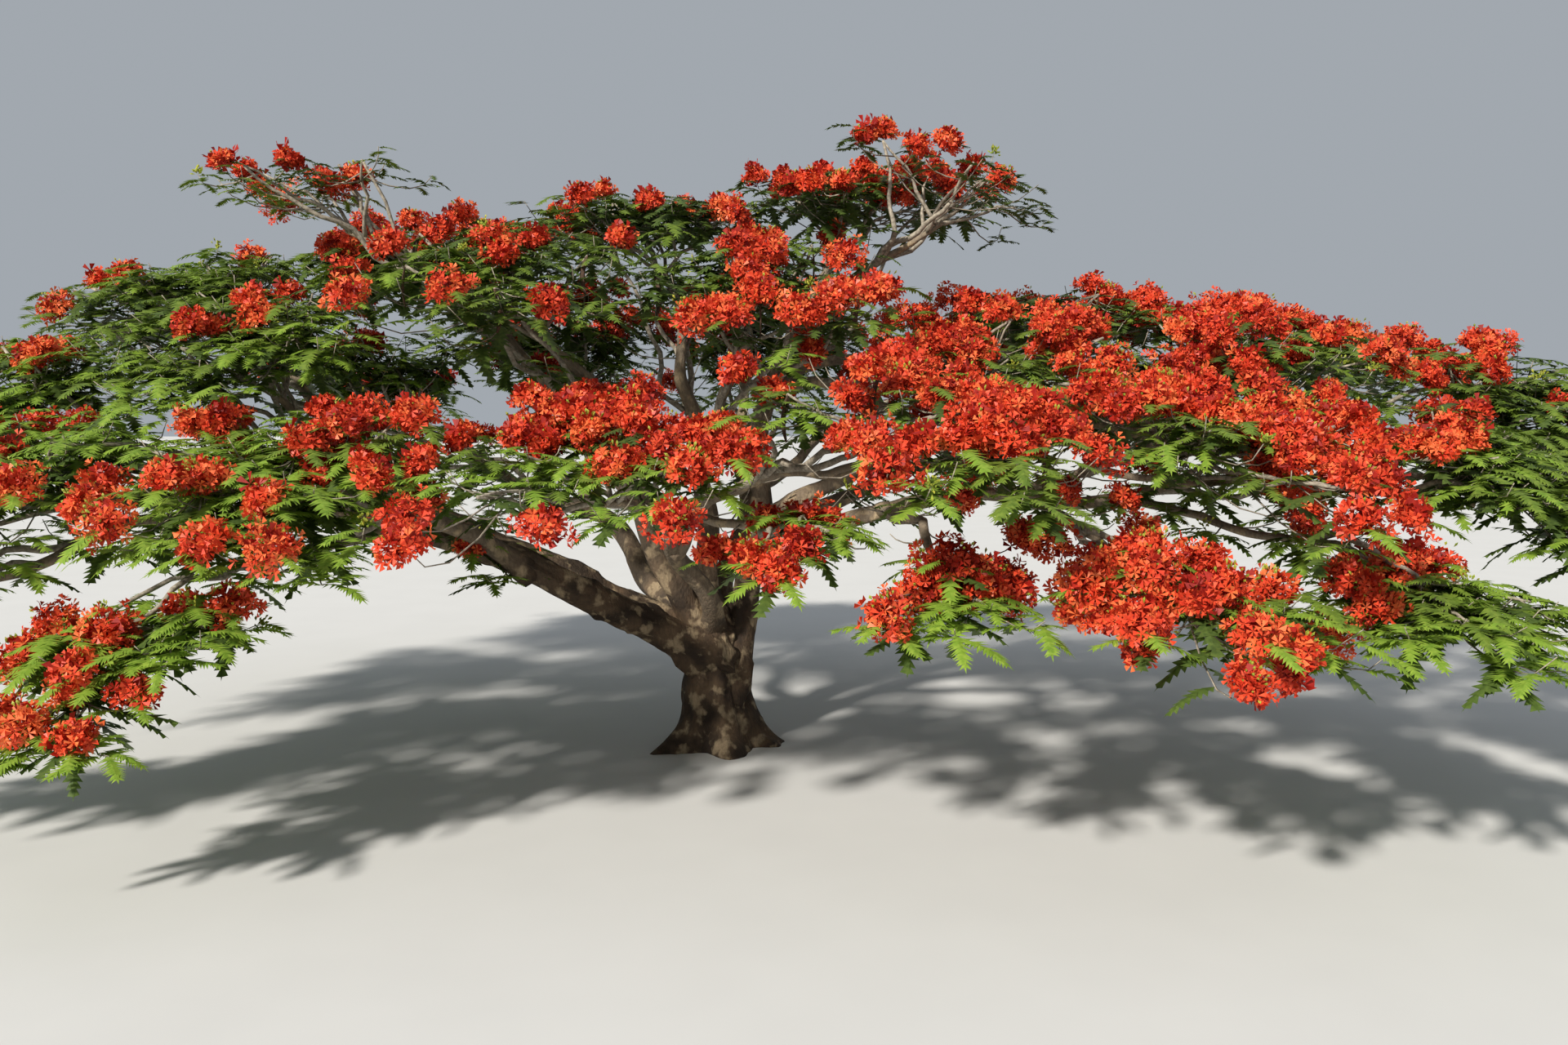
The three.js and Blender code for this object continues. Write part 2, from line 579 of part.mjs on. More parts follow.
/** One mass: its stem, its twigs, and the sprays, blossom and pods on them. */
function growMass(limb, wood) {
  const { mass } = limb;
  const draw = seededDraws(mass.seed + SEEDS.sprays);
  const pieces = [stems.get(mass.name)];
  const others = [...stems].filter(([name]) => name !== mass.name).map(([, solid]) => solid);
  const obstacles = [...wood, ...others].map((solid) => ({ solid, box: solid.boundingBox() }));
  const twigs = twigPlan(limb);
  for (const twig of twigs) {
    const curve = new TwigCurve(twig.start, twig.end, TWIG_LIFT);
    const twigSolid = freeSolid(limbGeometry(curve, 0, 1, 1, TWIG_SIDES, true), mass, obstacles);
    const stray = SPRAY_SPREAD.least + SPRAY_SPREAD.spread * draw();
    const size = Math.min(1, mass.width / FULL_SPRAY_WIDTH) * stray;
    const sprays = SPRAY_SIZES.map((shrink) => sprayGeometry(mass, twig, twigs, shrink * size, draw));
    const spray = sprays.map((geometry) => freeSolid(geometry, mass, obstacles)).find((solid) => solid);
    const pod = podGeometry(twig.end, 2 * Math.PI * draw());
    if (!twigSolid || !spray) {
      continue;
    }
    pieces.push(twigSolid, spray);
    const podSolid = POD_MASSES.includes(mass.name) ? freeSolid(pod, mass, obstacles) : null;
    if (podSolid) {
      pieces.push(podSolid);
    }
  }
  return fuse(pieces);
}

// The assembly

/** A named mesh of a solid, with its place taken out of its points. */
function toMesh(name, solid, colour, place) {
  const { vertProperties, triVerts } = solid.getMesh();
  const origin = place.clone().multiplyScalar(MILLIMETRES).round();
  const geometry = new THREE.BufferGeometry();
  geometry.setAttribute('position', new THREE.BufferAttribute(Float32Array.from(vertProperties), 3));
  geometry.setIndex(new THREE.BufferAttribute(Uint32Array.from(triVerts), 1));
  geometry.translate(-origin.x, -origin.y, -origin.z);
  const material = new THREE.MeshStandardMaterial({ ...colour, metalness: 0, flatShading: true });
  const mesh = new THREE.Mesh(geometry, material);
  mesh.name = name;
  mesh.position.copy(origin);
  return mesh;
}

const tree = new THREE.Group();
tree.name = 'flame_tree';
for (const [name, solid] of woodSolids) {
  const limb = limbNamed.get(name);
  const place = name === 'trunk' ? new THREE.Vector3() : limb.curve.getPoint(limb.leaves);
  tree.add(toMesh(name, solid, COLOURS.bark, place));
}
for (const limb of limbs) {
  const solid = growMass(limb, [...woodSolids.values()]);
  const colour = limb.mass.bloom > BLOOM_SHARE.red ? COLOURS.blossom : COLOURS.leaf;
  tree.add(toMesh(`foliage_${limb.mass.name}`, solid, colour, limb.mass.hub));
}

export default tree;
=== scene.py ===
"""A wide old flame tree in full bloom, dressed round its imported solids, in metres, +Z up.

The trunk carries boughs, the boughs carry limbs, and each of them leads along one crooked curve to
the hub of a mass of foliage. The same curves, spaces and seeded twigs as in the solids are worked
out here again and carried on to side shoots, feathery leaves, heads of blossom, buds and pods.
"""

import json
import math
from types import SimpleNamespace

import bpy
import numpy as np
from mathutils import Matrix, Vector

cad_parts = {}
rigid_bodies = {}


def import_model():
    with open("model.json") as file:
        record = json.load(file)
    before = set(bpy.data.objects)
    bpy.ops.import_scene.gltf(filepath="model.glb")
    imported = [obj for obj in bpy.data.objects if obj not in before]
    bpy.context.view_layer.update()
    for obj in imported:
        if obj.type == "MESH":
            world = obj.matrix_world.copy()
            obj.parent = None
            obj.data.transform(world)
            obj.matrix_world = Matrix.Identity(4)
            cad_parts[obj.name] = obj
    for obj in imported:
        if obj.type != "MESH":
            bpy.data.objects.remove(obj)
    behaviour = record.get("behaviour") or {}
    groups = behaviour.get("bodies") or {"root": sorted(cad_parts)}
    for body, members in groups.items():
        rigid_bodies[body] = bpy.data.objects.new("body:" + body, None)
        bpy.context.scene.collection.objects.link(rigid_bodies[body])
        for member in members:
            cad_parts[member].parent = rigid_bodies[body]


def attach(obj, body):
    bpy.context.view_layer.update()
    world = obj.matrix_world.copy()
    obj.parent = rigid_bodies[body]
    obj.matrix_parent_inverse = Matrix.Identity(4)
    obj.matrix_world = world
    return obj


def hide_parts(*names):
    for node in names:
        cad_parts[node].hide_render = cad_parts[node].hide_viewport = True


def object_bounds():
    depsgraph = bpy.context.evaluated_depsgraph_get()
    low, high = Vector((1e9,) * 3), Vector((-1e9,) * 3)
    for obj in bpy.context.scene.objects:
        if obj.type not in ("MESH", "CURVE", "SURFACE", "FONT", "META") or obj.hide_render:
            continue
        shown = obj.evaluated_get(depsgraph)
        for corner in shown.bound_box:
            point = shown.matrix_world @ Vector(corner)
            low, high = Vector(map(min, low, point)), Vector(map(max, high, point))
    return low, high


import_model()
cad_low, cad_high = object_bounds()

UP = np.array([0.0, 0.0, 1.0])
GOLDEN_ANGLE = math.pi * (3 - math.sqrt(5))
TURN = 2 * math.pi

# The camera stands above head height in front of the tree and looks slightly down.
CAMERA_PLACE = (0.92, -17.1, 4.7)
CAMERA_PITCH = -5.17
CAMERA_LENS = 28.0
CAMERA_WIDTH = 36.0
CAMERA_SIGHT = 1000
FLOOR_REACH = 220.0
SKY_COLOUR = (0.8, 0.87, 0.95, 1)
SKY_STRENGTH = 0.45
SUN_STRENGTH = 5.2
SUN_WIDTH = 4
SUN_COLOUR = (1.0, 0.95, 0.87)
SUN_TURN = (55, 0, -35)

# The crown, as in the solids: a space is flatter than wide, and a wide mass pushes a narrow one.
FLATNESS = 1.7
WIDTH_WEIGHT = 0.3
TWIG_SPACE_MARGIN = 0.06

# The trunk. Its ribs stand out by a share of the radius, which is largest at the foot.
TRUNK_RADIUS = 0.44
TRUNK_HEIGHT = 1.5
TRUNK_TAPER = 0.12
TRUNK_TOP = np.array([-0.1, 0.05, TRUNK_HEIGHT])
FLARE = 0.34
FLARE_HEIGHT = 0.34
RIBS = 5
RIB_DEPTH = 0.16
RIB_LEAST = 0.35
RIB_FADE = 0.5

ROW_STEP = 3.4
ROW_BEND = 14
ROW_WIDTH = 2.15
ROW_DEPTH = 2.0
ROW_HEART = -0.34
FALL_TO_SIDES = 0.022
HUB_BACK = 0.2
# name, depth, first, thickness, fall to the front, tops
ROWS = (
    ("front", -4.7, -7.9, 1.4, 0.32, (4.7, 4.7, 4.75, 5.2, 5.0, 4.7)),
    ("mid_front", -1.6, -9.6, 1.9, 0.42, (5.7, 6.5, 7.3, 7.0, 6.15, 6.05, 5.6)),
    ("mid_back", 1.5, -8.0, 1.7, 0.15, (7.3, 7.8, 8.3, 8.6, 6.75, 6.3)),
    ("back", 4.8, -6.2, 2.1, -0.45, (6.1, 6.7, 7.0, 6.5, 5.7)),
)
# name, x, y, top, thickness, half width, half depth, fall, heart, share of blossom if not the usual
LOW_AND_HIGH = (
    ("skirt_left_1", -5.6, -5.3, 3.0, 1.7, 1.45, 1.3, 0.45, 0, 0.7),
    ("skirt_left_2", -8.7, -4.6, 3.2, 1.6, 1.5, 1.3, 0.4, 0),
    ("skirt_middle", 1.15, -5.1, 3.8, 0.95, 1.1, 1.0, 0.2, 0),
    ("skirt_right_1", 2.6, -5.4, 3.35, 1.1, 1.25, 1.1, 0.2, 0),
    ("skirt_right_2", 4.9, -5.6, 3.3, 1.15, 1.5, 1.3, 0.2, 0),
    ("skirt_right_3", 7.6, -5.1, 3.3, 1.15, 1.5, 1.3, 0.2, 0),
    ("head_left", -5.2, -0.7, 8.25, 1.3, 1.65, 1.4, 0.05, -0.4, 0.6),
    ("head_right", 3.4, -0.3, 8.4, 1.4, 1.65, 1.4, 0.4, -0.4),
)
# wood, parent, where on it, mass, rise in degrees, slope of arrival, own radius at the fork
LIMBS = (
    ("bough_left_low", "trunk", 0.78, "front_1", 36, -0.1, 0.24),
    ("bough_left", "trunk", 0.9, "mid_front_1", 33, 0.0, 0.22),
    ("bough_left_back", "trunk", 0.8, "back_1", 42, 0.05, 0.18),
    ("bough_upper_left", "trunk", 1.0, "mid_front_3", 50, 0.5, 0.2),
    ("bough_front", "trunk", 0.95, "front_3", 58, -0.1, 0.15),
    ("bough_middle", "trunk", 1.0, "mid_back_3", 68, 0.7, 0.18),
    ("bough_back", "trunk", 0.85, "back_3", 52, 0.1, 0.16),
    ("stem_right", "trunk", 0.45, "mid_back_4", 66, 0.9, 0.22),
    ("bough_right_front", "stem_right", 0.27, "front_6", 30, -0.1),
    ("bough_right", "stem_right", 0.36, "mid_front_7", 36, 0.0),
    ("bough_right_back", "stem_right", 0.3, "back_5", 40, 0.05),
    ("limb_front_2", "bough_left_low", 0.34, "front_2", 30, 0.0),
    ("limb_skirt_left_1", "bough_left_low", 0.5, "skirt_left_1", 5, -0.6),
    ("limb_mid_back_1", "bough_left", 0.42, "mid_back_1", 35, 0.3),
    ("limb_back_2", "bough_left_back", 0.4, "back_2", 45, 0.3),
    ("limb_head_left", "bough_upper_left", 0.5, "head_left", 50, 0.5),
    ("limb_mid_back_2", "bough_upper_left", 0.36, "mid_back_2", 50, 0.4),
    ("limb_front_4", "bough_front", 0.36, "front_4", 45, 0.0),
    ("limb_mid_front_4", "bough_middle", 0.4, "mid_front_4", 60, 0.4),
    ("limb_back_4", "bough_back", 0.4, "back_4", 45, 0.2),
    ("limb_mid_front_5", "stem_right", 0.55, "mid_front_5", 50, 0.3),
    ("limb_mid_back_5", "stem_right", 0.6, "mid_back_5", 48, 0.3),
    ("limb_front_5", "bough_right_front", 0.42, "front_5", 25, 0.0),
    ("limb_skirt_right_2", "bough_right_front", 0.36, "skirt_right_2", 5, -0.5),
    ("limb_mid_back_6", "bough_right_back", 0.5, "mid_back_6", 35, 0.2),
    (None, "bough_left_low", 0.57, "skirt_left_2", 0, -0.6),
    (None, "bough_left", 0.55, "mid_front_2", 45, 0.4),
    (None, "bough_front", 0.52, "skirt_middle", 0, -0.3),
    (None, "bough_right_front", 0.24, "skirt_right_1", 5, -0.4),
    (None, "bough_right_front", 0.56, "skirt_right_3", 0, -0.5),
    (None, "bough_right", 0.58, "mid_front_6", 40, 0.4),
    (None, "stem_right", 0.72, "head_right", 60, 0.6),
)

MASS_ENTRY = 0.72
HUB_RADIUS = 0.03
FORK_THINNING = 0.74
COLLAR = 0.22
COLLAR_LENGTH = 0.2
TAPER_POWER = 0.9
LEAVING_PULL = 0.36
ARRIVING_PULL = 0.34
NEAR_HUB = 0.95
# A limb strays from its smooth curve in two waves each way, given in turns over its length.
CROOK = 0.028
CROOK_SHARPNESS = 0.8
CROOK_SECOND = 0.45
CROOK_UPWARD = 0.7
CROOK_TURNS_SIDE = (1.3, 3.1)
CROOK_TURNS_UP = (1.1, 2.7)

TWIGS_PER_METRE = 2.9
TWIG_LIFT = 0.12
STEM_TWIGS = 0.38
# Twigs end on a golden spiral over a dome, each a little astray in reach, angle and height.
SPIRAL = {"reach": 0.78, "start": 0.4, "least": 0.94, "spread": 0.12, "turn": 0.3, "lift": 0.14}
TWIG_DOME = {"rise": 0.5, "sink": 0.22}
SHRINKS = (1, 0.8, 0.6, 0.4)
BLOOM_SHARE = {"middle": 0.62, "per_metre": 0.03, "least": 0.35, "most": 0.9}
FULL_SPRAY_WIDTH = 1.7
POD_MASSES = ("mid_front_4", "mid_front_3", "front_4", "mid_back_5", "back_3")
LEAVES_OF_SPRAY = {"bloom": 4, "bare": 5}

# First seed of the draws of each kind, and the step to the next
LIMB_SEED = (9001, 53)
MASS_SEED = (211, 37)
SPRAY_SEED = 50000
BARK_SEED = (100, 10)
TRUNK_SEED = 91
LIMB_SHOOT_SEED = 500
BRANCH_SEED = 700
CROWN_SEED = 2024
LOBE_SEED = 77

# The bark. Rings and sides are counted from its size, within limits.
BARK_SIDES = {"per_metre": 130, "range": (12, 30)}
BARK_RINGS = {"step": 0.075, "range": (28, 130)}
JOINT = {"inside": 0.8, "swell": 0.4, "fade": 0.06, "fade_share": 0.8}
WANDER = {"height": 0.65, "length": 0.25, "length_share": 2}
GRAIN = {"limb": 1.6, "limb_share": 3, "trunk": 2.2}
PALE = {"radius": 0.19, "fade": 0.14}
# Its relief: height as a share of the radius, stretch round and along, shift, step of the seed. The
# rows are knobs, grooves, fine rings and, with the limit that they rise over, burls.
LIMB_RELIEF = (
    (0.16, 1, 2.4, 0, 0), (0.1, 2.6, 0.9, 7, 1), (0.03, 0.6, 14, 3, 2),
    (0.55, 1.3, 3.7, 5, 5, 0.35),
)
TRUNK_RELIEF = (
    (0.09, 1.1, 2.4, 0, 0), (0.09, 2.4, 1, 0, 1), (0.025, 5.5, 7, 0, 2),
    (0.3, 1.6, 3.1, 4, 3, 0.3),
)

# What the solids leave to this script: side shoots round each twig, and what they carry.
SHOOTS = 11
SHOOT_STRAY = {"reach": (0.82, 1.12), "turn": 0.35, "rise": (-0.16, 0.1), "facing": 0.14}
SHOOT_SINK = 0.16
SHOOT_FOOT = (0.35, 1.0)
SHOOT_SPREADING = 0.5
SHOOT_STEEPEST = 0.35
SHOOT_BEND = 0.42
UNDER_SHOOTS = 5
UNDER_DROP = (0.3, 0.75)
SKIRT_DROP = (0.1, 0.35)
SKIRT_SLOPE = 0.5
DOME = 0.26
TALL_DOMES = {"skirt_right_2": 0.45}
AIRY_MASSES = {"head_left": 0.5, "head_right": 0.5}
# Shoots straight off a limb, and bare branches under the foliage
LIMB_SHOOT = {"step": 0.3, "bare": 2.6, "first": 0.3, "first_limb": 0.2, "lowest": 2.4}
LIMB_SHOOT_LENGTH = (0.45, 1.15)
LIMB_BLOOM = {"skirt_right_1": 0.25, "skirt_right_2": 0.7}
LIMB_BLOOM_SHARE = 0.25
BRANCH = {"leaves": (0.5, 0.97), "pull": 0.25, "lift": (-0.04, 0.14)}
# radius, share of it at the foot and at the tip, stations, sides, sway
RODS = {
    "twig": (0.022, 1.5, 0.6, 9, 5, 0.03),
    "branch": (0.052, 1.0, 0.35, 15, 6, 0.035),
    "shoot": (0.012, 1.0, 0.5, 5, 3, 0),
}
SWAY_TURNS_ACROSS, SWAY_TURNS_OVER, SWAY_SECOND = (1.2, 2.9), (1.4, 3.3), 0.5
ROD_LEAN, PETAL_LEAN, HEAD_LEAN = np.array([(0.31, 0.17, 0.0), (0.2, 0.1, 0.0), (0.13, 0.21, 0.0)])

LEAF_LENGTH = 0.5
TUFT_LEAVES = 0.66
PINNA_PAIRS = {"fresh": 16, "full": 14, "deep": 11}
INNER_PAIRS = 8
PINNA = {
    "places": (0.1, 0.97), "foot": 0.9, "reach": 0.29, "opening": 75, "closing": 30,
    "dip": (-0.05, 0.4),
}
LEAF_END = 1.16
STALK_END = 0.14
LEAVES_BARE = 6
LEAVES_IN_BLOOM = 4
LEAF_PLACES = {"last": 0.97, "step": 0.09, "turn": 0.25}
LEAF_TILT = {"low": 0.15, "high": 0.4}
OUTER_LEAF = {"lift": (0.05, 0.45), "length": (0.75, 1.1), "droop": (0.08, 0.32), "lifted": 0.6}
INNER_LEAF = {"on": (0.25, 0.6), "lift": (-0.3, 0.2), "length": (0.8, 1.15), "droop": (0.15, 0.5)}
# The shoots to the right of the middle that carry blossom mostly have few leaves.
LEAF_FADE = (-2.0, 3.0)
FEW_LEAVES = 0.9
# Leaves are a deeper green the higher they are, with some drift, and a little to the right. The
# deeper green is partly their own tone and partly painted shade.
GREEN = {"middle": 5.4, "spread": 2.4, "drift": 0.4, "rightward": 0.05, "limits": (-0.3, 0.6)}

FLOWERS = 76
HEART_FLOWERS = 13
HEAD_RADIUS = 0.235
HEAD_SIZES = {"least": 0.75, "spread": 0.5}
HEAD_OPENING = 1.4
HEAD_FLATNESS = 0.8
HEAD_STRAY = {"polar": 0.06, "round": 0.15, "facing": 0.34}
# How far out the flowers of a head are, and how many of them are sunk into it
HEAD_DEPTH = {"range": (0.78, 1.1), "sink": 0.3, "sunk": 0.25}
# Dark petals in the heart of each head, as painted shade: how far they spread, lie out and turn,
# and how large they are
HEART = {"spread": 0.55, "out": 0.25, "facing": 0.7, "radius": (0.08, 0.1)}
HEAD_LOBES = {"height": 0.42, "size": 2.1, "shift": 61, "under": 0.75}
TOP_HEADS = {"above": 7.7, "size": 0.75}
RIPE_HEADS = {"below": 4.0, "low": 0.4, "high": 0.1}
FLOWER_RADIUS = 0.058
FLOWER_SIZES = (0.82, 1.18)
PETALS = 5
PETAL_WIDTH = 0.36
PETAL_CLAW = 0.35
PETAL_RISE = (-0.25, 0.55)
PETAL_REACH = (0.85, 1.1)
# A flower is crimson over one limit of its tint and orange under the other. The tint is drawn for
# its head and for itself, and is lower for flowers that are ripe. It is also lower for flowers that
# face up or stand out, and higher for sunk ones: painted light on the tops of the heads and painted
# shade in their hollows.
TINTS = {"crimson": 0.8, "orange": 0.24}
TINT = {"head": 0.4, "own": 0.7, "up": 0.12, "ripe": 0.2, "out": 0.5, "middle": 0.85}
BUDS = {"head": 3, "ripe": 15, "cluster": 21, "share": 0.06}
BUD = {
    "facing": 0.5, "in_cluster": (0.05, 0.5), "in_head": (0.72, 1.0),
    "length": (0.04, 0.07), "radius": (0.012, 0.02), "belly": 0.6,
}
POD = {"length": 0.5, "half_width": 0.034, "thickness": 0.28, "bow": 0.07}
MOST_TRIANGLES = 190000
OVERHANG = 0.22

# Of leaves, petals and buds: the colour, a lighter and a darker one, the share of the light that
# passes through, and the least roughness
LIVING = {
    "leaf_fresh": ((0.225, 0.36, 0.038), (0.42, 0.53, 0.085), (0.12, 0.225, 0.025), 0.3, 0.5),
    "leaf_full": ((0.148, 0.228, 0.028), (0.29, 0.37, 0.058), (0.07, 0.125, 0.018), 0.28, 0.48),
    # The deep green is partly the leaves' own tone and partly painted shade: high, right-hand and
    # inner leaves get it.
    "leaf_deep": ((0.072, 0.118, 0.023), (0.148, 0.21, 0.042), (0.034, 0.06, 0.015), 0.25, 0.45),
    "petal_scarlet": ((0.76, 0.066, 0.024), (0.94, 0.19, 0.065), (0.5, 0.022, 0.011), 0.25, 0.42),
    "petal_orange": ((0.88, 0.17, 0.05), (0.97, 0.35, 0.12), (0.72, 0.07, 0.022), 0.25, 0.42),
    # The crimson also serves as painted shade, in the hearts of the heads and on sunk flowers.
    "petal_crimson": ((0.34, 0.014, 0.008), (0.56, 0.04, 0.018), (0.17, 0.006, 0.004), 0.2, 0.42),
    "bud_lime": ((0.3, 0.36, 0.04), (0.6, 0.42, 0.06), (0.16, 0.26, 0.03), 0.1, 0.5),
}
WOODY = {
    "pod_brown": ((0.035, 0.018, 0.011), (0.1, 0.05, 0.027)),
    "twig_grey_brown": ((0.14, 0.115, 0.085), (0.42, 0.37, 0.29)),
}
BARK_COLOURS = {
    "dark": (0.032, 0.021, 0.014), "brown": (0.12, 0.078, 0.046), "thin": (0.31, 0.25, 0.18),
    "lichen": (0.43, 0.33, 0.205), "cracks": (0.03, 0.023, 0.018),
}
FLOOR_COLOURS = ((0.58, 0.58, 0.57), (0.62, 0.62, 0.61))

# The share of a mass's shoots that bloom, how much those high on it and those to its right go
# before the others, and the share of shoots that carry leaves.
BLOOM = {
    "front_1": (0.22, 0.4, 0, 1), "front_2": (0.3, 0.8, 0, 1), "front_3": (0.42, 0.9, -0.1, 0.6),
    "front_4": (0.36, 0.2, 0.1, 0.65), "front_5": (0.6, -0.3, 0.5, 0.6),
    "front_6": (0.07, 0.2, -0.3, 1),
    "mid_front_1": (0.1, 0.3, 0, 1), "mid_front_2": (0.06, 0.3, 0, 1),
    "mid_front_3": (0.14, 0.3, 0, 0.9), "mid_front_4": (0.24, -0.1, 0.2, 0.9),
    "mid_front_5": (0.38, 0.4, 0, 0.65), "mid_front_6": (0.42, 0.5, -0.7, 0.7),
    "mid_front_7": (0.12, 0.5, -0.3, 1),
    "mid_back_1": (0.05, 0.3, 0, 1), "mid_back_2": (0.42, 0.5, 0.2, 1),
    "mid_back_3": (0.17, 0.3, 0, 0.9), "mid_back_4": (0.34, 0.5, 0, 0.9),
    "mid_back_5": (0.32, 0.5, 0, 0.75), "mid_back_6": (0.28, 0.5, 0, 0.8),
    "back_1": (0.16, 0.3, 0, 1), "back_2": (0.3, 0.3, 0, 1), "back_3": (0.3, 0.3, 0, 1),
    "back_4": (0.4, 0.3, 0, 0.8), "back_5": (0.3, 0.3, 0, 1),
    "skirt_left_1": (0.3, -0.6, 0, 1), "skirt_left_2": (0.24, -0.6, 0, 1),
    "skirt_middle": (0.32, 0.3, 0, 0.8), "skirt_right_1": (0.38, 0.5, 0.2, 0.8),
    "skirt_right_2": (0.56, 0.1, -0.3, 0.9), "skirt_right_3": (0.18, 0, -0.6, 1),
    "head_left": (0.26, 0.5, 0, 1), "head_right": (0.36, -0.2, 0, 1),
}
PATCH = {"size": 0.6, "drift": 0.1, "upper": 0.4}

HASH_PRIMES = np.array([374761393, 668265263, 144665917])
HASH_SEED, HASH_MIX, HASH_MASK = 9176, 1274126177, 0xFFFFFFFF


def seeded_draws(seed):
    """A repeatable source of numbers from 0 to 1, the same as the solids draw from."""
    state = [seed]

    def draw():
        state[0] = (state[0] + 0x6D2B79F5) & HASH_MASK
        mixed = state[0]
        mixed = ((mixed ^ (mixed >> 15)) * (mixed | 1)) & HASH_MASK
        mixed ^= (mixed + (mixed ^ (mixed >> 7)) * (mixed | 61)) & HASH_MASK
        return (mixed ^ (mixed >> 14)) / 4294967296

    return draw


def unit(vectors):
    """Each vector divided by its length."""
    return vectors / np.maximum(np.linalg.norm(vectors, axis=-1, keepdims=True), 1e-9)


def square_to(axis, lean):
    """Two unit vectors square to each axis and to each other. The first is square to a leaning
    upright too, and the lean is there because an upright axis has no such vector otherwise."""
    across = unit(np.cross(axis, UP + lean))
    return across, np.cross(axis, across)


def lumps(points, seed):
    """Smooth noise from -1 to 1: hashed values on a unit lattice, blended by 3f² - 2f³ each way."""
    cell = np.floor(points).astype(np.int64)
    part = points - cell
    part = part * part * (3 - 2 * part)
    total = np.zeros(len(points))
    for corner in np.ndindex(2, 2, 2):
        spot = cell + np.array(corner)
        mixed = (spot @ HASH_PRIMES + seed * HASH_SEED) & HASH_MASK
        mixed = ((mixed ^ (mixed >> 13)) * HASH_MIX) & HASH_MASK
        value = ((mixed ^ (mixed >> 16)) & 0xFFFF) / 32767.5 - 1
        total += value * np.prod(np.where(corner, part, 1 - part), axis=1)
    return total


# The crown plan


def crown_plan():
    """Every mass with its centre, hub, half sizes, fall and share of blossom, as in the solids."""
    rows = []
    for name, depth, first, thick, fall, tops in ROWS:
        for i, top in enumerate(tops):
            x = first + i * ROW_STEP
            y = depth * math.sqrt(1 - (x / ROW_BEND) ** 2)
            falls = np.array([FALL_TO_SIDES * x, -fall])
            sizes = (ROW_WIDTH, ROW_DEPTH, falls, ROW_HEART)
            rows.append((f"{name}_{i + 1}", x, y, top, thick, *sizes))
    for name, x, y, top, thick, width, depth, fall, heart, *bloom in LOW_AND_HIGH:
        falls = unit(np.array([x, y])) * fall
        rows.append((name, x, y, top, thick, width, depth, falls, heart, *bloom))
    plan = []
    for i, (name, x, y, top, thick, width, depth, falls, heart, *bloom) in enumerate(rows):
        outward = unit(np.array([x, y, 0.0]))
        centre = np.array([x, y, top - thick / 2])
        hub = centre - HUB_BACK * width * outward
        hub[2] += heart * thick + HUB_BACK * width * (falls @ outward[:2])
        usual = BLOOM_SHARE["middle"] + BLOOM_SHARE["per_metre"] * x
        usual = min(max(usual, BLOOM_SHARE["least"]), BLOOM_SHARE["most"])
        plan.append(SimpleNamespace(
            name=name, index=i, centre=centre, hub=hub, thick=thick, width=width, depth=depth,
            falls=falls, bloom=bloom[0] if bloom else usual, seed=MASS_SEED[0] + MASS_SEED[1] * i,
        ))
    return plan


MASSES = crown_plan()
MASS_NAMED = {mass.name: mass for mass in MASSES}
CENTRES = np.array([mass.centre for mass in MASSES])
WIDTHS = np.array([mass.width for mass in MASSES])


def in_space(index, points, margin):
    """Whether points lie in a mass's own space: nearer to its centre than to any other's, where
    nearness is level distance², plus flattened rise², less a share of the width²."""
    side = ((points[:, None, :2] - CENTRES[None, :, :2]) ** 2).sum(axis=2)
    rise = FLATNESS * (points[:, 2:3] - CENTRES[None, :, 2])
    power = side + rise**2 - WIDTH_WEIGHT * WIDTHS**2
    own = power[:, index].copy()
    power[:, index] = np.inf
    return own + margin < power.min(axis=1)


def near_box(points):
    """Which points lie in the box round the solids, widened by a small overhang."""
    low, high = np.array(cad_low) - OVERHANG, np.array(cad_high) + OVERHANG
    return ((points > low) & (points < high)).all(axis=1)


# Curves of the wood


def two_waves(t, turns, phases, second):
    """A sine wave of so many turns over t, and a quicker one of a share of its height."""
    slow, quick = (np.sin(TURN * turns[i] * t + phases[i]) for i in (0, 1))
    return slow + second * quick


class Trunk:
    """The straight leaning axis of the trunk, with the radius of its round core."""

    run = TRUNK_HEIGHT

    def at(self, t):
        return np.outer(t, TRUNK_TOP)

    def radius_at(self, t):
        return TRUNK_RADIUS * (1 - TRUNK_TAPER * np.asarray(t))


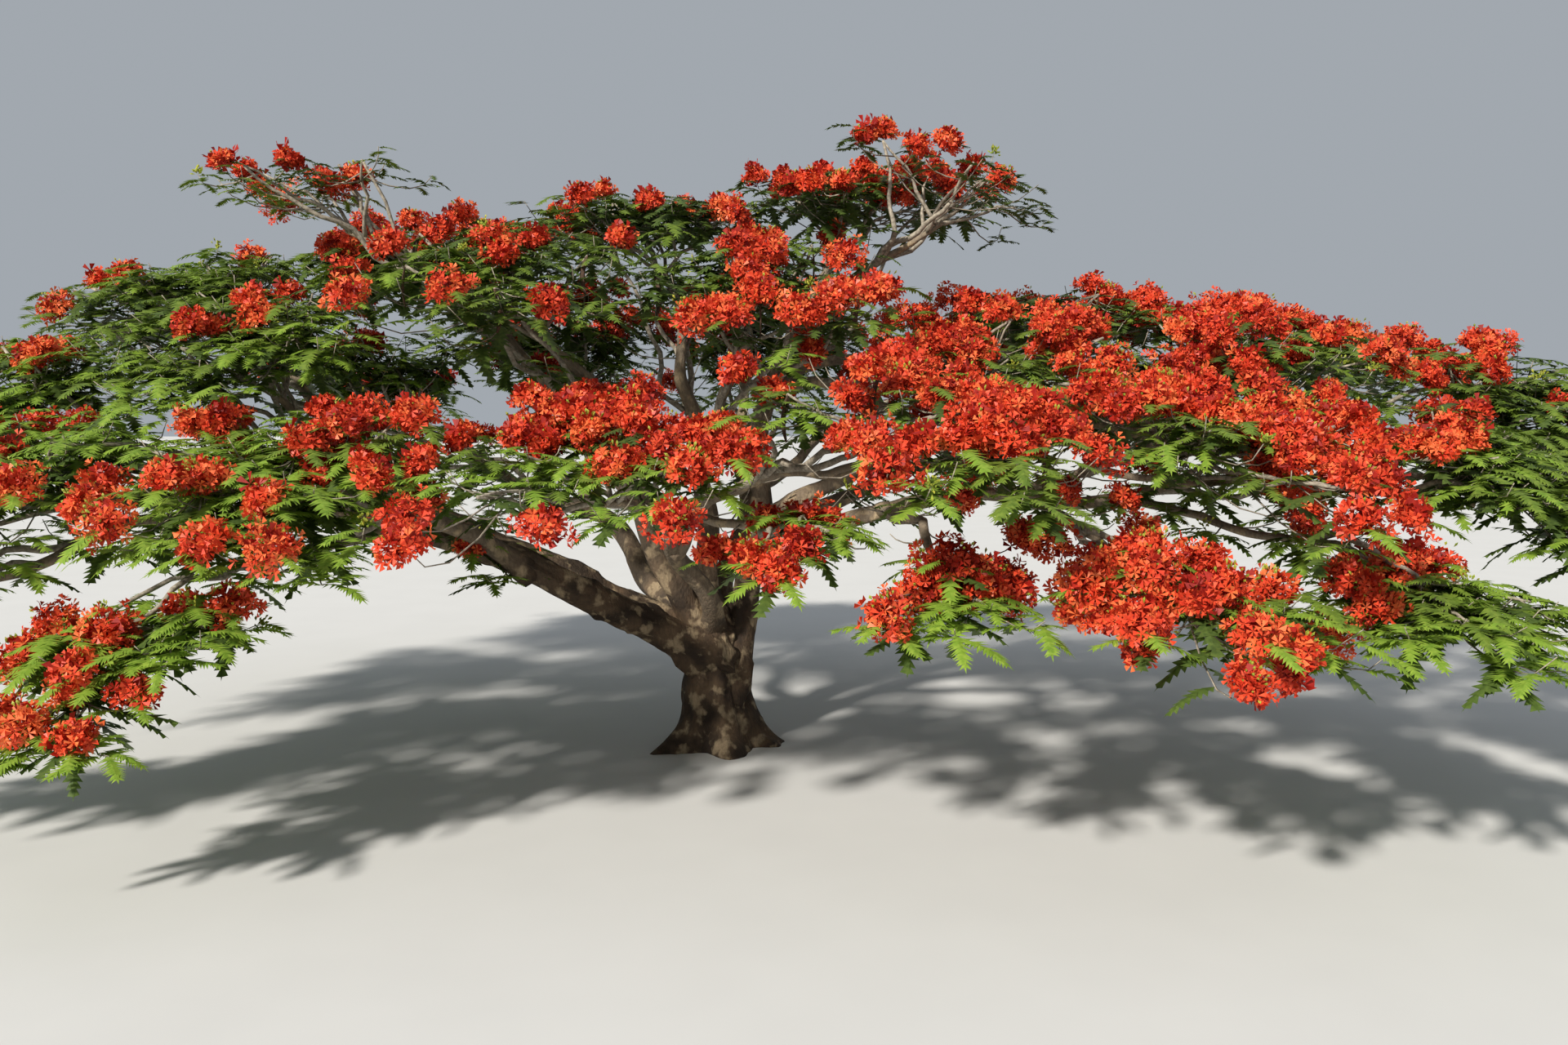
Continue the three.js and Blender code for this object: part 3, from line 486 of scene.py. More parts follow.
class Limb:
    """A smooth curve from its parent to a hub, made crooked by waves that die out at both ends,
    with a radius that tapers to the hub and swells where it leaves its parent."""

    def __init__(self, row, parent, draw):
        self.wood, _, at, to, rise, arrive, *own_radius = row
        self.fork_radius = float(parent.radius_at(at))
        self.parent, self.mass = parent, MASS_NAMED[to]
        start = parent.at([at])[0]
        hub = self.mass.hub
        self.run = float(np.linalg.norm(hub - start))
        level = unit((hub - start) * [1, 1, 0])
        rise = math.radians(rise)
        leave = level * math.cos(rise) + UP * math.sin(rise)
        slope = unit(level + UP * arrive)
        self.posts = np.array([
            start,
            start + LEAVING_PULL * self.run * leave,
            hub - ARRIVING_PULL * self.run * slope,
            hub,
        ])
        self.base = own_radius[0] if own_radius else FORK_THINNING * self.fork_radius
        self.level = np.array([-level[1], level[0], 0.0])
        self.phases = [TURN * draw() for _ in range(4)]
        self.enters = 1 - self.step_at(NEAR_HUB, MASS_ENTRY * self.mass.width)

    def at(self, t):
        t = np.asarray(t, float)[:, None]
        s = 1 - t
        a, b, c, d = self.posts
        bend = s**3 * a + 3 * s**2 * t * b + 3 * s * t**2 * c + t**3 * d
        stray = CROOK * self.run * np.maximum(0, np.sin(math.pi * t)) ** CROOK_SHARPNESS
        sideways = two_waves(t, CROOK_TURNS_SIDE, self.phases[:2], CROOK_SECOND)
        upward = two_waves(t, CROOK_TURNS_UP, self.phases[2:], CROOK_SECOND)
        return bend + stray * sideways * self.level + CROOK_UPWARD * stray * upward * UP

    def radius_at(self, t):
        t = np.asarray(t, float)
        taper = HUB_RADIUS + (self.base - HUB_RADIUS) * np.maximum(0, 1 - t) ** TAPER_POWER
        return taper + COLLAR * self.base * np.exp(-t * self.run / COLLAR_LENGTH)

    def step_at(self, t, metres):
        """The fraction of the curve that a step of so many metres takes at t."""
        probe = 0.001
        ends = self.at([t, min(t + probe, 1 - probe)])
        return metres * probe / np.linalg.norm(ends[1] - ends[0])


TRUNK = Trunk()
LIMB_NAMED = {"trunk": TRUNK}
TREE_LIMBS = []
for number, row in enumerate(LIMBS):
    limb = Limb(row, LIMB_NAMED[row[1]], seeded_draws(LIMB_SEED[0] + LIMB_SEED[1] * number))
    TREE_LIMBS.append(limb)
    if limb.wood:
        LIMB_NAMED[limb.wood] = limb


def twig_plan(limb):
    """Where the source's twigs of a mass start and end, their angles and which of them bloom:
    a golden spiral over the mass, lifted to its dome, lowered by its fall."""
    mass = limb.mass
    draw = seeded_draws(mass.seed)
    spin = TURN * draw()
    count = int(TWIGS_PER_METRE * mass.width + 0.5)
    starts, ends, angles, blooms = [], [], [], []
    for k in range(count):
        astray = SPIRAL["least"] + SPIRAL["spread"] * draw()
        reach = SPIRAL["reach"] * math.sqrt((k + SPIRAL["start"]) / count) * astray
        angle = spin + k * GOLDEN_ANGLE + SPIRAL["turn"] * (draw() - 0.5)
        lift = SPIRAL["lift"] * (draw() - 0.5)
        bloom = draw() < mass.bloom
        shrunk = reach * np.array(SHRINKS)
        sides = np.stack([
            mass.width * shrunk * math.cos(angle),
            mass.depth * shrunk * math.sin(angle),
        ], axis=1)
        dome = TWIG_DOME["rise"] * np.sqrt(1 - shrunk**2) - TWIG_DOME["sink"] + lift
        heights = mass.thick * dome - sides @ mass.falls
        places = np.column_stack([sides, heights]) + mass.centre
        inside = in_space(mass.index, places, TWIG_SPACE_MARGIN)
        ends.append(places[np.argmax(inside) if inside.any() else -1])
        starts.append(limb.at([1 - (1 - limb.enters) * STEM_TWIGS * (1 - k / count)])[0])
        angles.append(angle)
        blooms.append(bloom)
    return np.array(starts), np.array(ends), np.array(angles), np.array(blooms)


# Meshes


def placed(name, data):
    """A new object in the scene."""
    thing = bpy.data.objects.new(name, data)
    bpy.context.scene.collection.objects.link(thing)
    return thing


def add_piece(name, points, faces, finish, slot, smooth=False, attributes=None):
    """A mesh object from an array of points and one of faces with three or four corners each."""
    mesh = bpy.data.meshes.new(name)
    corners = faces.shape[1]
    mesh.vertices.add(len(points))
    mesh.vertices.foreach_set("co", np.ascontiguousarray(points, np.float32).ravel())
    mesh.loops.add(faces.size)
    mesh.loops.foreach_set("vertex_index", np.ascontiguousarray(faces, np.int32).ravel())
    mesh.polygons.add(len(faces))
    mesh.polygons.foreach_set("loop_start", np.arange(0, faces.size, corners, dtype=np.int32))
    mesh.polygons.foreach_set("use_smooth", np.full(len(faces), smooth))
    for key, values in (attributes or {}).items():
        place = mesh.attributes.new(key, "FLOAT", "POINT")
        place.data.foreach_set("value", values.astype(np.float32))
    mesh.update(calc_edges=True)
    mesh.validate()
    mesh.materials.append(finish)
    piece = placed(name, mesh)
    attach(piece, "root")
    return piece


def add_pieces(name, points, faces, finish, slot):
    """Loose faces as one numbered piece, or as several of equal size where there are many."""
    parts = -(-len(faces) // MOST_TRIANGLES)
    corners = len(points) // len(faces)
    each = -(-len(faces) // parts)
    for i in range(parts):
        loose = points[i * each * corners:(i + 1) * each * corners]
        loose_faces = np.arange(len(loose)).reshape(-1, corners)
        add_piece(f"{name}_{i + 1}", loose, loose_faces, finish, slot)


def joined(parts):
    """Several (points, faces, ...) as one, with the faces renumbered."""
    sizes = np.cumsum([0] + [len(part[0]) for part in parts])
    points = np.concatenate([part[0] for part in parts])
    faces = np.concatenate([part[1] + size for part, size in zip(parts, sizes)])
    rest = [np.concatenate([part[i] for part in parts]) for i in range(2, len(parts[0]))]
    return (points, faces, *rest)


def bezier(starts, middles, ends, stations):
    """Points (n, m, 3) and unit tangents of n quadratic curves at m stations, each the sum
    (1-t)²a + 2(1-t)tb + t²c."""
    t = np.asarray(stations, float)[None, :, None]
    a, b, c = starts[:, None], middles[:, None], ends[:, None]
    points = (1 - t) ** 2 * a + 2 * (1 - t) * t * b + t**2 * c
    return points, unit(2 * (1 - t) * (b - a) + 2 * t * (c - b))


def skin(rings, foot, tip):
    """Closed skins over n stacks of m rings with s corners each, from foot to tip: two triangles
    between neighbours, and fans to the poles at both ends."""
    n, m, s = rings.shape[:3]
    points = np.concatenate([foot[:, None], rings.reshape(n, m * s, 3), tip[:, None]], axis=1)
    this = 1 + np.arange(s)
    following = 1 + (np.arange(s) + 1) % s
    lower = (np.arange(m - 1) * s)[:, None]
    last = (m - 1) * s
    pole = np.full(s, m * s + 1)
    faces = np.concatenate([
        np.stack([0 * this, following, this], axis=-1),
        np.stack([lower + this, lower + following, lower + s + following], axis=-1).reshape(-1, 3),
        np.stack([lower + this, lower + s + following, lower + s + this], axis=-1).reshape(-1, 3),
        np.stack([last + this, last + following, pole], axis=-1),
    ])
    faces = faces[None] + ((m * s + 2) * np.arange(n))[:, None, None]
    return points.reshape(-1, 3), faces.reshape(-1, 3)


def rods(points, tangents, radii, sides):
    """Closed thin rods along n curves at once: rings of so many sides square to each tangent."""
    across, over = square_to(tangents, ROD_LEAN)
    angles = (TURN * np.arange(sides) / sides)[:, None]
    ring = np.cos(angles) * across[:, :, None] + np.sin(angles) * over[:, :, None]
    return skin(points[:, :, None] + radii[:, :, None, None] * ring, points[:, 0], points[:, -1])


def crooked(points, tangents, sway, rng):
    """The same n curves bent by two waves, each way across the curve, that die out at both ends
    and are sway times the curve's length high."""
    stations = np.linspace(0, 1, points.shape[1])[None, :, None]
    length = np.linalg.norm(points[:, -1] - points[:, 0], axis=-1)[:, None, None]
    across, over = square_to(tangents, ROD_LEAN)
    phases = rng.uniform(0, TURN, (4, len(points), 1, 1))
    first = two_waves(stations, SWAY_TURNS_ACROSS, phases[:2], SWAY_SECOND)
    second = two_waves(stations, SWAY_TURNS_OVER, phases[2:], SWAY_SECOND)
    fade = sway * length * np.sin(math.pi * stations)
    bent = points + fade * (first * across + second * over)
    return bent, unit(np.gradient(bent, axis=1))


# The bark of trunk and boughs


def wrapped(angle, along, spread):
    """Places round a cylinder of radius spread, for every station along it and every angle."""
    along = along[:, None] + 0 * angle
    sides = [spread * np.cos(angle) + 0 * along, spread * np.sin(angle) + 0 * along]
    return np.stack([*sides, along], axis=-1).reshape(-1, 3)


def relief(places, shape, rows, seed):
    """One plus the sum of each row's height times its smooth lumps, of which a row with a limit
    keeps only what rises over it."""
    total = 1.0
    for height, around, along, shift, step, *limit in rows:
        noise = lumps(places * [around, around, along] + shift, seed + step).reshape(shape)
        if limit:
            noise = np.maximum(0, noise - limit[0])
        total = total + height * noise
    return total


def bark_tube(limb, seed):
    """A limb's bark: rings along its curve from inside the parent to the hub, each the tapering
    radius, widened where it comes out of the parent, times the relief. The middle line wanders by a
    part of the radius. Thin wood is pale."""
    length = limb.run
    sides = int(np.clip(round(limb.base * BARK_SIDES["per_metre"]), *BARK_SIDES["range"]))
    rings = int(np.clip(round(length / BARK_RINGS["step"]), *BARK_RINGS["range"]))
    t = np.linspace(0.0, 1.0, rings)
    out_of_parent = np.maximum(0, t * length - JOINT["inside"] * limb.fork_radius)
    fade = JOINT["fade"] + JOINT["fade_share"] * limb.base
    radius = limb.radius_at(t) + JOINT["swell"] * limb.base * np.exp(-out_of_parent / fade)
    pace = WANDER["length"] + WANDER["length_share"] * limb.base
    along = np.column_stack([0 * t, 0 * t, t * length / pace])
    centre = limb.at(t)
    side = np.cross(limb.level, unit(centre[-1] - centre[0]))
    for way, shift, step in ((limb.level, 0.5, 3), (side, 9.5, 4)):
        wander = WANDER["height"] * radius * lumps(along + shift, seed + step)
        centre = centre + wander[:, None] * way
    tangent = unit(np.gradient(centre, axis=0))
    over = unit(np.cross(tangent, limb.level))
    across = np.cross(over, tangent)
    angle = TURN * np.arange(sides) / sides
    ring = np.cos(angle)[:, None] * across[:, None] + np.sin(angle)[:, None] * over[:, None]
    places = wrapped(angle, t * length, GRAIN["limb"] + GRAIN["limb_share"] * limb.base)
    reach = radius[:, None] * relief(places, (rings, sides), LIMB_RELIEF, seed)
    points, faces = skin((centre[:, None] + reach[..., None] * ring)[None], centre[:1], centre[-1:])
    pale = np.repeat(np.clip((PALE["radius"] - radius) / PALE["fade"], 0, 1), sides)
    return points, faces, np.concatenate([pale[:1], pale, pale[-1:]])


def trunk_bark():
    """The trunk: core radius plus a flare e^(-z/height), times ribs that run out towards the foot,
    times the relief, with a flat foot at the ground and a domed top among the boughs."""
    sides, rings, dome_rings, dome = 96, 66, 8, 0.3
    cap = np.linspace(0, 1, dome_rings + 2)[1:-1]
    closing = np.concatenate([np.ones(rings), np.sqrt(1 - cap**2)])
    z = np.concatenate([np.linspace(0, TRUNK_HEIGHT, rings), TRUNK_HEIGHT + dome * cap])
    rise = np.minimum(z / TRUNK_HEIGHT, 1)
    core = TRUNK_RADIUS * (1 - TRUNK_TAPER * rise) + FLARE * np.exp(-z / FLARE_HEIGHT)
    radius = (core * closing)[:, None]
    angle = TURN * np.arange(sides) / sides
    ribs = 1 + RIB_DEPTH * np.cos(RIBS * angle) * (RIB_LEAST + np.exp(-z[:, None] / RIB_FADE))
    places = wrapped(angle, z, GRAIN["trunk"])
    reach = radius * ribs * relief(places, (len(z), sides), TRUNK_RELIEF, TRUNK_SEED)
    lean = rise[:, None] * TRUNK_TOP[:2]
    rows = np.stack([
        reach * np.cos(angle) + lean[:, :1],
        reach * np.sin(angle) + lean[:, 1:],
        z[:, None] + 0 * angle,
    ], axis=-1)
    points, faces = skin(rows[None], np.zeros((1, 3)), TRUNK_TOP[None] + UP * dome)
    return points, faces, np.zeros(len(points))


# Shoots and branches


def grow_shoots(limb):
    """The side shoots of a mass: round the end of each of the source's twigs a golden spiral,
    raised to a low dome on the slope of the mass, with a few more below it. Those outside the space
    are left out, and so are low ones that would be bare."""
    mass = limb.mass
    rng = np.random.default_rng(mass.seed)
    starts, ends, angles, _ = twig_plan(limb)
    middles = (starts + ends) / 2 + UP * TWIG_LIFT
    size = min(1.0, mass.width / FULL_SPRAY_WIDTH)
    full = AIRY_MASSES.get(mass.name, 1.0)
    count = max(4, round(SHOOTS * size**2 * full))
    under = max(1, round(UNDER_SHOOTS * size**2)) if full == 1.0 else 0
    normal = unit(np.array([*mass.falls, 1.0]))
    hangs = mass.name.startswith("skirt")
    drop = SKIRT_DROP if hangs else UNDER_DROP
    dome = TALL_DOMES.get(mass.name, DOME)
    falls = mass.falls * (SKIRT_SLOPE if hangs else 1.0)
    j = np.arange(count + under)
    low = j >= count
    share = np.sqrt((np.where(low, j - count, j) + 0.5) / np.where(low, max(under, 1), count))
    found = []
    for k in range(len(ends)):
        reach = size * share * rng.uniform(*SHOOT_STRAY["reach"], len(j))
        turn = rng.uniform(-SHOOT_STRAY["turn"], SHOOT_STRAY["turn"], len(j))
        phi = angles[k] + j * GOLDEN_ANGLE + turn
        side = np.stack([np.cos(phi), np.sin(phi)], axis=1)
        rise = size * (dome * (1 - share**2) - SHOOT_SINK)
        rise = rise + rng.uniform(*SHOOT_STRAY["rise"], len(j))
        rise = np.where(low, rise - rng.uniform(*drop, len(j)) * size, rise)
        level = side * reach[:, None]
        tips = ends[k] + np.column_stack([level, rise - level @ falls])
        t = np.clip(rng.uniform(*SHOOT_FOOT, len(j)) - 0.1 * share, 0.2, 0.98)
        feet = bezier(starts[k:k + 1], middles[k:k + 1], ends[k:k + 1], t)[0][0]
        out = np.column_stack([side, np.zeros(len(j))])
        stray = rng.normal(0, SHOOT_STRAY["facing"], (len(j), 3))
        facing = unit(normal + out * (SHOOT_SPREADING * share)[:, None] + stray)
        facing = np.where(low[:, None], unit(facing * 0.6 + out), facing)
        spread = np.linalg.norm((tips - feet)[:, :2], axis=1)
        flat = spread > SHOOT_STEEPEST * np.abs(tips - feet)[:, 2]
        keep = in_space(mass.index, tips, 0.0) & flat
        found.append(np.column_stack([feet, tips, facing, low])[keep])
    rows = np.concatenate(found)
    tips, low = rows[:, 3:6], rows[:, 9] > 0
    patch = lumps(tips / PATCH["size"], mass.seed) + rng.normal(0, PATCH["drift"], len(rows))
    patch += PATCH["upper"] * ~low
    share, upward, rightward, leafy = BLOOM[mass.name]
    patch += upward * (tips[:, 2] - mass.centre[2]) / mass.thick
    patch += rightward * (tips[:, 0] - mass.centre[0]) / mass.width
    blooming = np.argsort(np.argsort(-patch)) / len(rows) < share
    leafy = (rng.random(len(rows)) < leafy) & (~low | (leafy == 1))
    kept = ~low | blooming | leafy
    return SimpleNamespace(
        feet=rows[kept, 0:3], tips=tips[kept], facing=rows[kept, 6:9], low=low[kept],
        blooming=blooming[kept], leafy=leafy[kept], inner=np.full(kept.sum(), full == 1.0),
        twigs=(starts, middles, ends),
    )


def limb_shoots(limb, seed):
    """Leafy shoots straight off a limb, between its lower bare part and its mass: they leave to
    alternate sides and turn up at the tip."""
    rng = np.random.default_rng(seed)
    bare = max(LIMB_SHOOT["first"], LIMB_SHOOT["bare"] / limb.run)
    first = bare if limb.parent is TRUNK else LIMB_SHOOT["first_limb"]
    count = max(0, int((limb.enters - first) * limb.run / LIMB_SHOOT["step"]))
    place = (np.arange(count) + rng.uniform(0.1, 0.9, count)) / max(count, 1)
    feet, way = limb_places(limb, first + (limb.enters - first) * place)
    side = np.where(np.arange(count) % 2, 1, -1)[:, None] * limb.level
    out = unit(side + 0.5 * way + rng.normal(0, 0.3, (count, 3))) * [1, 1, 0.4]
    long = rng.uniform(*LIMB_SHOOT_LENGTH, count)[:, None]
    tips = feet + long * (out * 0.85 + UP * rng.uniform(0.0, 0.5, (count, 1)))
    facing = unit(out * 0.7 + UP)
    keep = tips[:, 2] > LIMB_SHOOT["lowest"]
    share, _, _, leafy = BLOOM[limb.mass.name]
    share = LIMB_BLOOM.get(limb.mass.name, LIMB_BLOOM_SHARE * share)
    all_kept = np.ones(keep.sum(), bool)
    return SimpleNamespace(
        feet=feet[keep], tips=tips[keep], facing=facing[keep], low=all_kept,
        blooming=rng.random(keep.sum()) < share, leafy=all_kept & (leafy == 1), inner=all_kept,
    )


def long_branches(limb, seed):
    """Bare crooked branches, that leave a limb well before its mass at a low angle and lead under
    the foliage to the ends of every second twig."""
    rng = np.random.default_rng(seed)
    ends = twig_plan(limb)[1][::2]
    feet, way = limb_places(limb, limb.enters * rng.uniform(*BRANCH["leaves"], len(ends)))
    span = np.linalg.norm(ends - feet, axis=1, keepdims=True)
    level = unit((ends - feet) * [1, 1, 0])
    lift = UP * rng.uniform(*BRANCH["lift"], (len(ends), 1))
    middles = feet + span * (BRANCH["pull"] * way + BRANCH["pull"] * level + lift)
    return feet, middles, ends


def limb_places(limb, t):
    """Places on a limb and the directions in which it goes on from them."""
    feet = limb.at(t)
    return feet, unit(limb.at(np.minimum(t + 0.01, 1)) - feet)


def rods_of(kind, starts, middles, ends, rng):
    """Tapering rods of one kind along n quadratic curves, crooked where the kind sways."""
    radius, foot, tip, stations, sides, sway = RODS[kind]
    line, tangents = bezier(starts, middles, ends, np.linspace(0, 1, stations))
    if sway:
        line, tangents = crooked(line, tangents, sway, rng)
    taper = np.broadcast_to(radius * np.linspace(foot, tip, stations), line.shape[:2])
    return rods(line, tangents, taper, sides)


# Leaves, flowers, buds and pods


def leaf_meshes(base, forward, length, droop, pairs, rng):
    """Feathery leaves, n at once. The midrib goes forward and bows down as droop times p². Pairs of
    pinnae leave it at an angle that closes towards its tip, each a long pointed triangle whose foot
    overlaps the next; one more ends the midrib and two make its stalk."""
    count = len(base)
    side = unit(np.cross(UP, forward))
    p = np.linspace(*PINNA["places"], pairs)

    def rib(share):
        return (base[:, None] + forward[:, None] * (length[:, None] * share)[..., None]
                - UP * ((length * droop)[:, None] * share**2)[..., None])

    half = PINNA["foot"] / pairs
    line, before, after = rib(p), rib(p - 0.9 * half), rib(p + 1.1 * half)
    tangent = unit(forward[:, None] - UP * (2 * droop[:, None] * p)[..., None])
    opening = np.radians(PINNA["opening"] - PINNA["closing"] * p)
    long = PINNA["reach"] * length[:, None] * np.sin(math.pi * (0.17 + 0.7 * p)) ** 0.6
    parts = []
    for sign in (-1, 1):
        dip = rng.uniform(*PINNA["dip"], (count, pairs, 1))
        way = tangent * np.cos(opening)[:, None] + sign * side[:, None] * np.sin(opening)[:, None]
        tip = line + unit(way - UP * dip) * long[..., None]
        parts.append(np.stack([before, after, tip] if sign > 0 else [after, before, tip], axis=2))
    last = rib(np.array([0.9, LEAF_END]))
    stalk = rib(np.array([0.0, STALK_END]))
    wing, thin = side * (0.05 * length)[:, None], side * 0.005
    foot, top = stalk[:, 0], stalk[:, 1]
    for corners in (
        (last[:, 0] - wing, last[:, 1], last[:, 0] + wing),
        (foot - thin, top - thin, top + thin),
        (foot - thin, top + thin, foot + thin),
    ):
        parts.append(np.stack(corners, axis=1)[:, None])
    return loose_triangles(np.concatenate(parts, axis=1))


def loose_triangles(corners):
    """Points and faces of triangles that share no corner."""
    points = corners.reshape(-1, 3)
    return points, np.arange(len(points)).reshape(-1, 3)


def flower_meshes(centre, facing, radius, spin, rng):
    """Open flowers, n at once: five petals round the centre, each from a narrow claw to two outer
    corners that are raised by heights of their own, so that a flower is crinkled and full from the
    side."""
    first, second = square_to(facing, PETAL_LEAN)
    r = radius[:, None]
    petals = []
    for k in range(PETALS):
        angle = (spin + TURN * k / PETALS)[:, None]
        out = np.cos(angle) * first + np.sin(angle) * second
        flank = np.cross(facing, out)
        left, right = rng.uniform(*PETAL_RISE, (2, *r.shape))
        reach = rng.uniform(*PETAL_REACH, r.shape) * r
        petals.append(np.stack([
            centre - PETAL_CLAW * r * facing,
            centre + reach * out - PETAL_WIDTH * r * flank + left * r * facing,
            centre + reach * out + PETAL_WIDTH * r * flank + right * r * facing,
        ], axis=1))
    return loose_triangles(np.stack(petals, axis=1))


def bud_meshes(centre, axis, length, radius):
    """Plump buds, n at once: two three-sided points set base to base along an axis."""
    first, second = square_to(axis, PETAL_LEAN)
    r, tall = radius[:, None], length[:, None]
    belly = centre + BUD["belly"] * tall * axis
    angles = (0, TURN / 3, 2 * TURN / 3)
    ring = [belly + r * (math.cos(a) * first + math.sin(a) * second) for a in angles]
    points = np.stack([centre, *ring, centre + tall * axis], axis=1)
    faces = np.array([[0, 2, 1], [0, 3, 2], [0, 1, 3], [1, 2, 4], [2, 3, 4], [3, 1, 4]])
    faces = faces[None] + 5 * np.arange(len(centre))[:, None, None]
    return points.reshape(-1, 3), faces.reshape(-1, 3)


def pod_places():
    """Where the source hangs its pods, and how they are turned: its draws are followed spray by
    spray."""
    hooks, turns = [], []
    for limb in TREE_LIMBS:
        if limb.mass.name not in POD_MASSES:
            continue
        draw = seeded_draws(limb.mass.seed + SPRAY_SEED)
        _, ends, _, blooms = twig_plan(limb)
        for end, bloom in zip(ends, blooms):
            for _ in range(1 + 4 * LEAVES_OF_SPRAY["bloom" if bloom else "bare"]):
                draw()
            hooks.append(end)
            turns.append(TURN * draw())
    return np.array(hooks), np.array(turns)


def pod_meshes(hooks, turns):
    """Long flat pods, n at once: a lens-shaped section whose width swells as sin(πp)^0.4 along a
    gently bowed middle line, hanging from its hook."""
    rings, sides = 9, 6
    p = np.linspace(0.0, 1.0, rings)
    width = POD["half_width"] * np.sin(math.pi * np.clip(p, 0.03, 0.97)) ** 0.4
    angle = TURN * np.arange(sides) / sides
    across = np.stack([np.cos(turns), np.sin(turns), 0 * turns], axis=1)
    through = np.stack([np.sin(turns), -np.cos(turns), 0 * turns], axis=1)
    bow = POD["bow"] * np.sin(math.pi * 0.9 * p)
    middle = hooks[:, None] - UP * (POD["length"] * p)[:, None] + across[:, None] * bow[:, None]
    wide, thick = np.cos(angle) * width[:, None], np.sin(angle) * width[:, None]
    ring = wide[..., None] * across[:, None, None]
    ring = ring + (POD["thickness"] * thick)[..., None] * through[:, None, None]
    return skin(middle[:, :, None] + ring, middle[:, 0], middle[:, -1])


def perpendicular(axis, phi):
    """Unit vectors square to each axis at the angle phi round it."""
    first, second = square_to(axis, HEAD_LEAN)
    return np.cos(phi)[:, None] * first + np.sin(phi)[:, None] * second


# Shader nodes


class Wire:
    """A socket in arithmetic: each operator adds a Math node."""

    def __init__(self, finish, socket):
        self.finish, self.socket = finish, socket

    def math(self, operation, left, right):
        return self.finish.node("ShaderNodeMath", {"operation": operation}, {0: left, 1: right})

    def __add__(self, other):
        return self.math("ADD", self, other)

    def __mul__(self, other):
        return self.math("MULTIPLY", self, other)

    __radd__, __rmul__ = __add__, __mul__


class Finish:
    """A material, and the methods that add its nodes."""

    def __init__(self, name):
        self.material = bpy.data.materials.new(name)
        self.material.use_nodes = True
        self.tree = self.material.node_tree
        self.tree.nodes.clear()
        self.output = self.tree.nodes.new("ShaderNodeOutputMaterial")

    def node(self, kind, settings=None, inputs=None, output=0):
        """Adds a node, sets its settings or ramp stops, then sets or links its sockets."""
        node = self.tree.nodes.new(kind)
        for key, value in (settings or {}).items():
            if key == "stops":
                while len(node.color_ramp.elements) < len(value):
                    node.color_ramp.elements.new(0.5)
                for stop, (place, grey) in zip(node.color_ramp.elements, value):
                    stop.position, stop.color = place, (grey, grey, grey, 1)
            else:
                setattr(node, key, value)
        for key, value in (inputs or {}).items():
            if isinstance(value, Wire):
                self.tree.links.new(value.socket, node.inputs[key])
            else:
                node.inputs[key].default_value = value
        return Wire(self, node.outputs[output])

    def noise(self, scale, detail, stretch=(1, 1, 1)):
        """Fractal noise on Object coordinates, from 0 to 1."""
        place = self.node("ShaderNodeTexCoord", output="Object")
        place = self.node("ShaderNodeMapping", inputs={"Vector": place, "Scale": stretch})
        inputs = {"Vector": place, "Scale": scale, "Detail": detail}
        return self.node("ShaderNodeTexNoise", inputs=inputs)

    def ramp(self, value, low, high):
        """0 up to low, 1 from high on, smooth between."""
        settings = {"stops": ((low, 0.0), (high, 1.0))}
        return self.node("ShaderNodeValToRGB", settings, {"Fac": value})

    def blend(self, factor, first, second):
        """A colour between two, by a factor."""
        settings = {"data_type": "RGBA"}
        return self.node("ShaderNodeMix", settings, {0: factor, 6: first, 7: second}, output=2)

    def bump(self, strength, distance, height):
        """A normal tilted by the slope of a height."""
        inputs = {"Strength": strength, "Distance": distance, "Height": height}
        return self.node("ShaderNodeBump", inputs=inputs)

    def surface(self, base, roughness, **others):
        """A Principled shader."""
        inputs = {"Base Color": base, "Roughness": roughness, **others}
        return self.node("ShaderNodeBsdfPrincipled", inputs=inputs)

    def close(self, shader):
        self.tree.links.new(shader.socket, self.output.inputs["Surface"])
        return self.material


def living_finish(name, *row):
    """A thin living surface: the colour drifts to a lighter and a darker one by noise, and part of
    the light passes through."""
    colour, light, shade = (rgb(value) for value in row[:3])
    through, roughness = row[3:]
    finish = Finish(name)
    drift = finish.ramp(finish.noise(1.7, 2.0), 0.38, 0.62)
    speck = finish.ramp(finish.noise(19.0, 2.0), 0.42, 0.68)
    base = finish.blend(drift * 0.5, colour, shade)
    base = finish.blend(speck * 0.45, base, light)
    bump = finish.bump(0.25, 0.004, finish.noise(60.0, 2.0))
    others = {"Normal": bump, "Specular IOR Level": 0.3}
    front = finish.surface(base, 0.12 * drift + roughness, **others)
    back = finish.node("ShaderNodeBsdfTranslucent", inputs={"Color": base})
    return finish.close(finish.node("ShaderNodeMixShader", inputs={0: through, 1: front, 2: back}))


def bark_finish():
    """Bark: dark and brown by noise, paler and greyer on thin limbs, with lichen blotches, rings
    round the limb and fine cracks in the bump."""
    finish = Finish("bark_dark_and_lichened")
    dark, brown, thin, lichen, cracks = (rgb(value) for value in BARK_COLOURS.values())
    pale = finish.node("ShaderNodeAttribute", {"attribute_name": "pale"}, output="Fac")
    patches = finish.ramp(finish.noise(2.3, 5.0), 0.4, 0.62)
    grain = finish.noise(28.0, 6.0, (1, 1, 0.35))
    spots = finish.ramp(finish.noise(5.0, 9.0), 0.52, 0.62)
    base = finish.blend(patches, dark, brown)
    base = finish.blend(pale * 0.8, base, thin)
    base = finish.blend(spots * (0.6 + 0.2 * pale), base, lichen)
    base = finish.blend(finish.ramp(grain, 0.35, 0.75) * 0.45, base, cracks)
    relief = finish.noise(34.0, 8.0, (1, 1, 0.5)) + 0.6 * finish.noise(9.0, 4.0)
    others = {"Normal": finish.bump(0.9, 0.02, relief), "Specular IOR Level": 0.25}
    return finish.close(finish.surface(base, 0.8 + 0.15 * grain, **others))


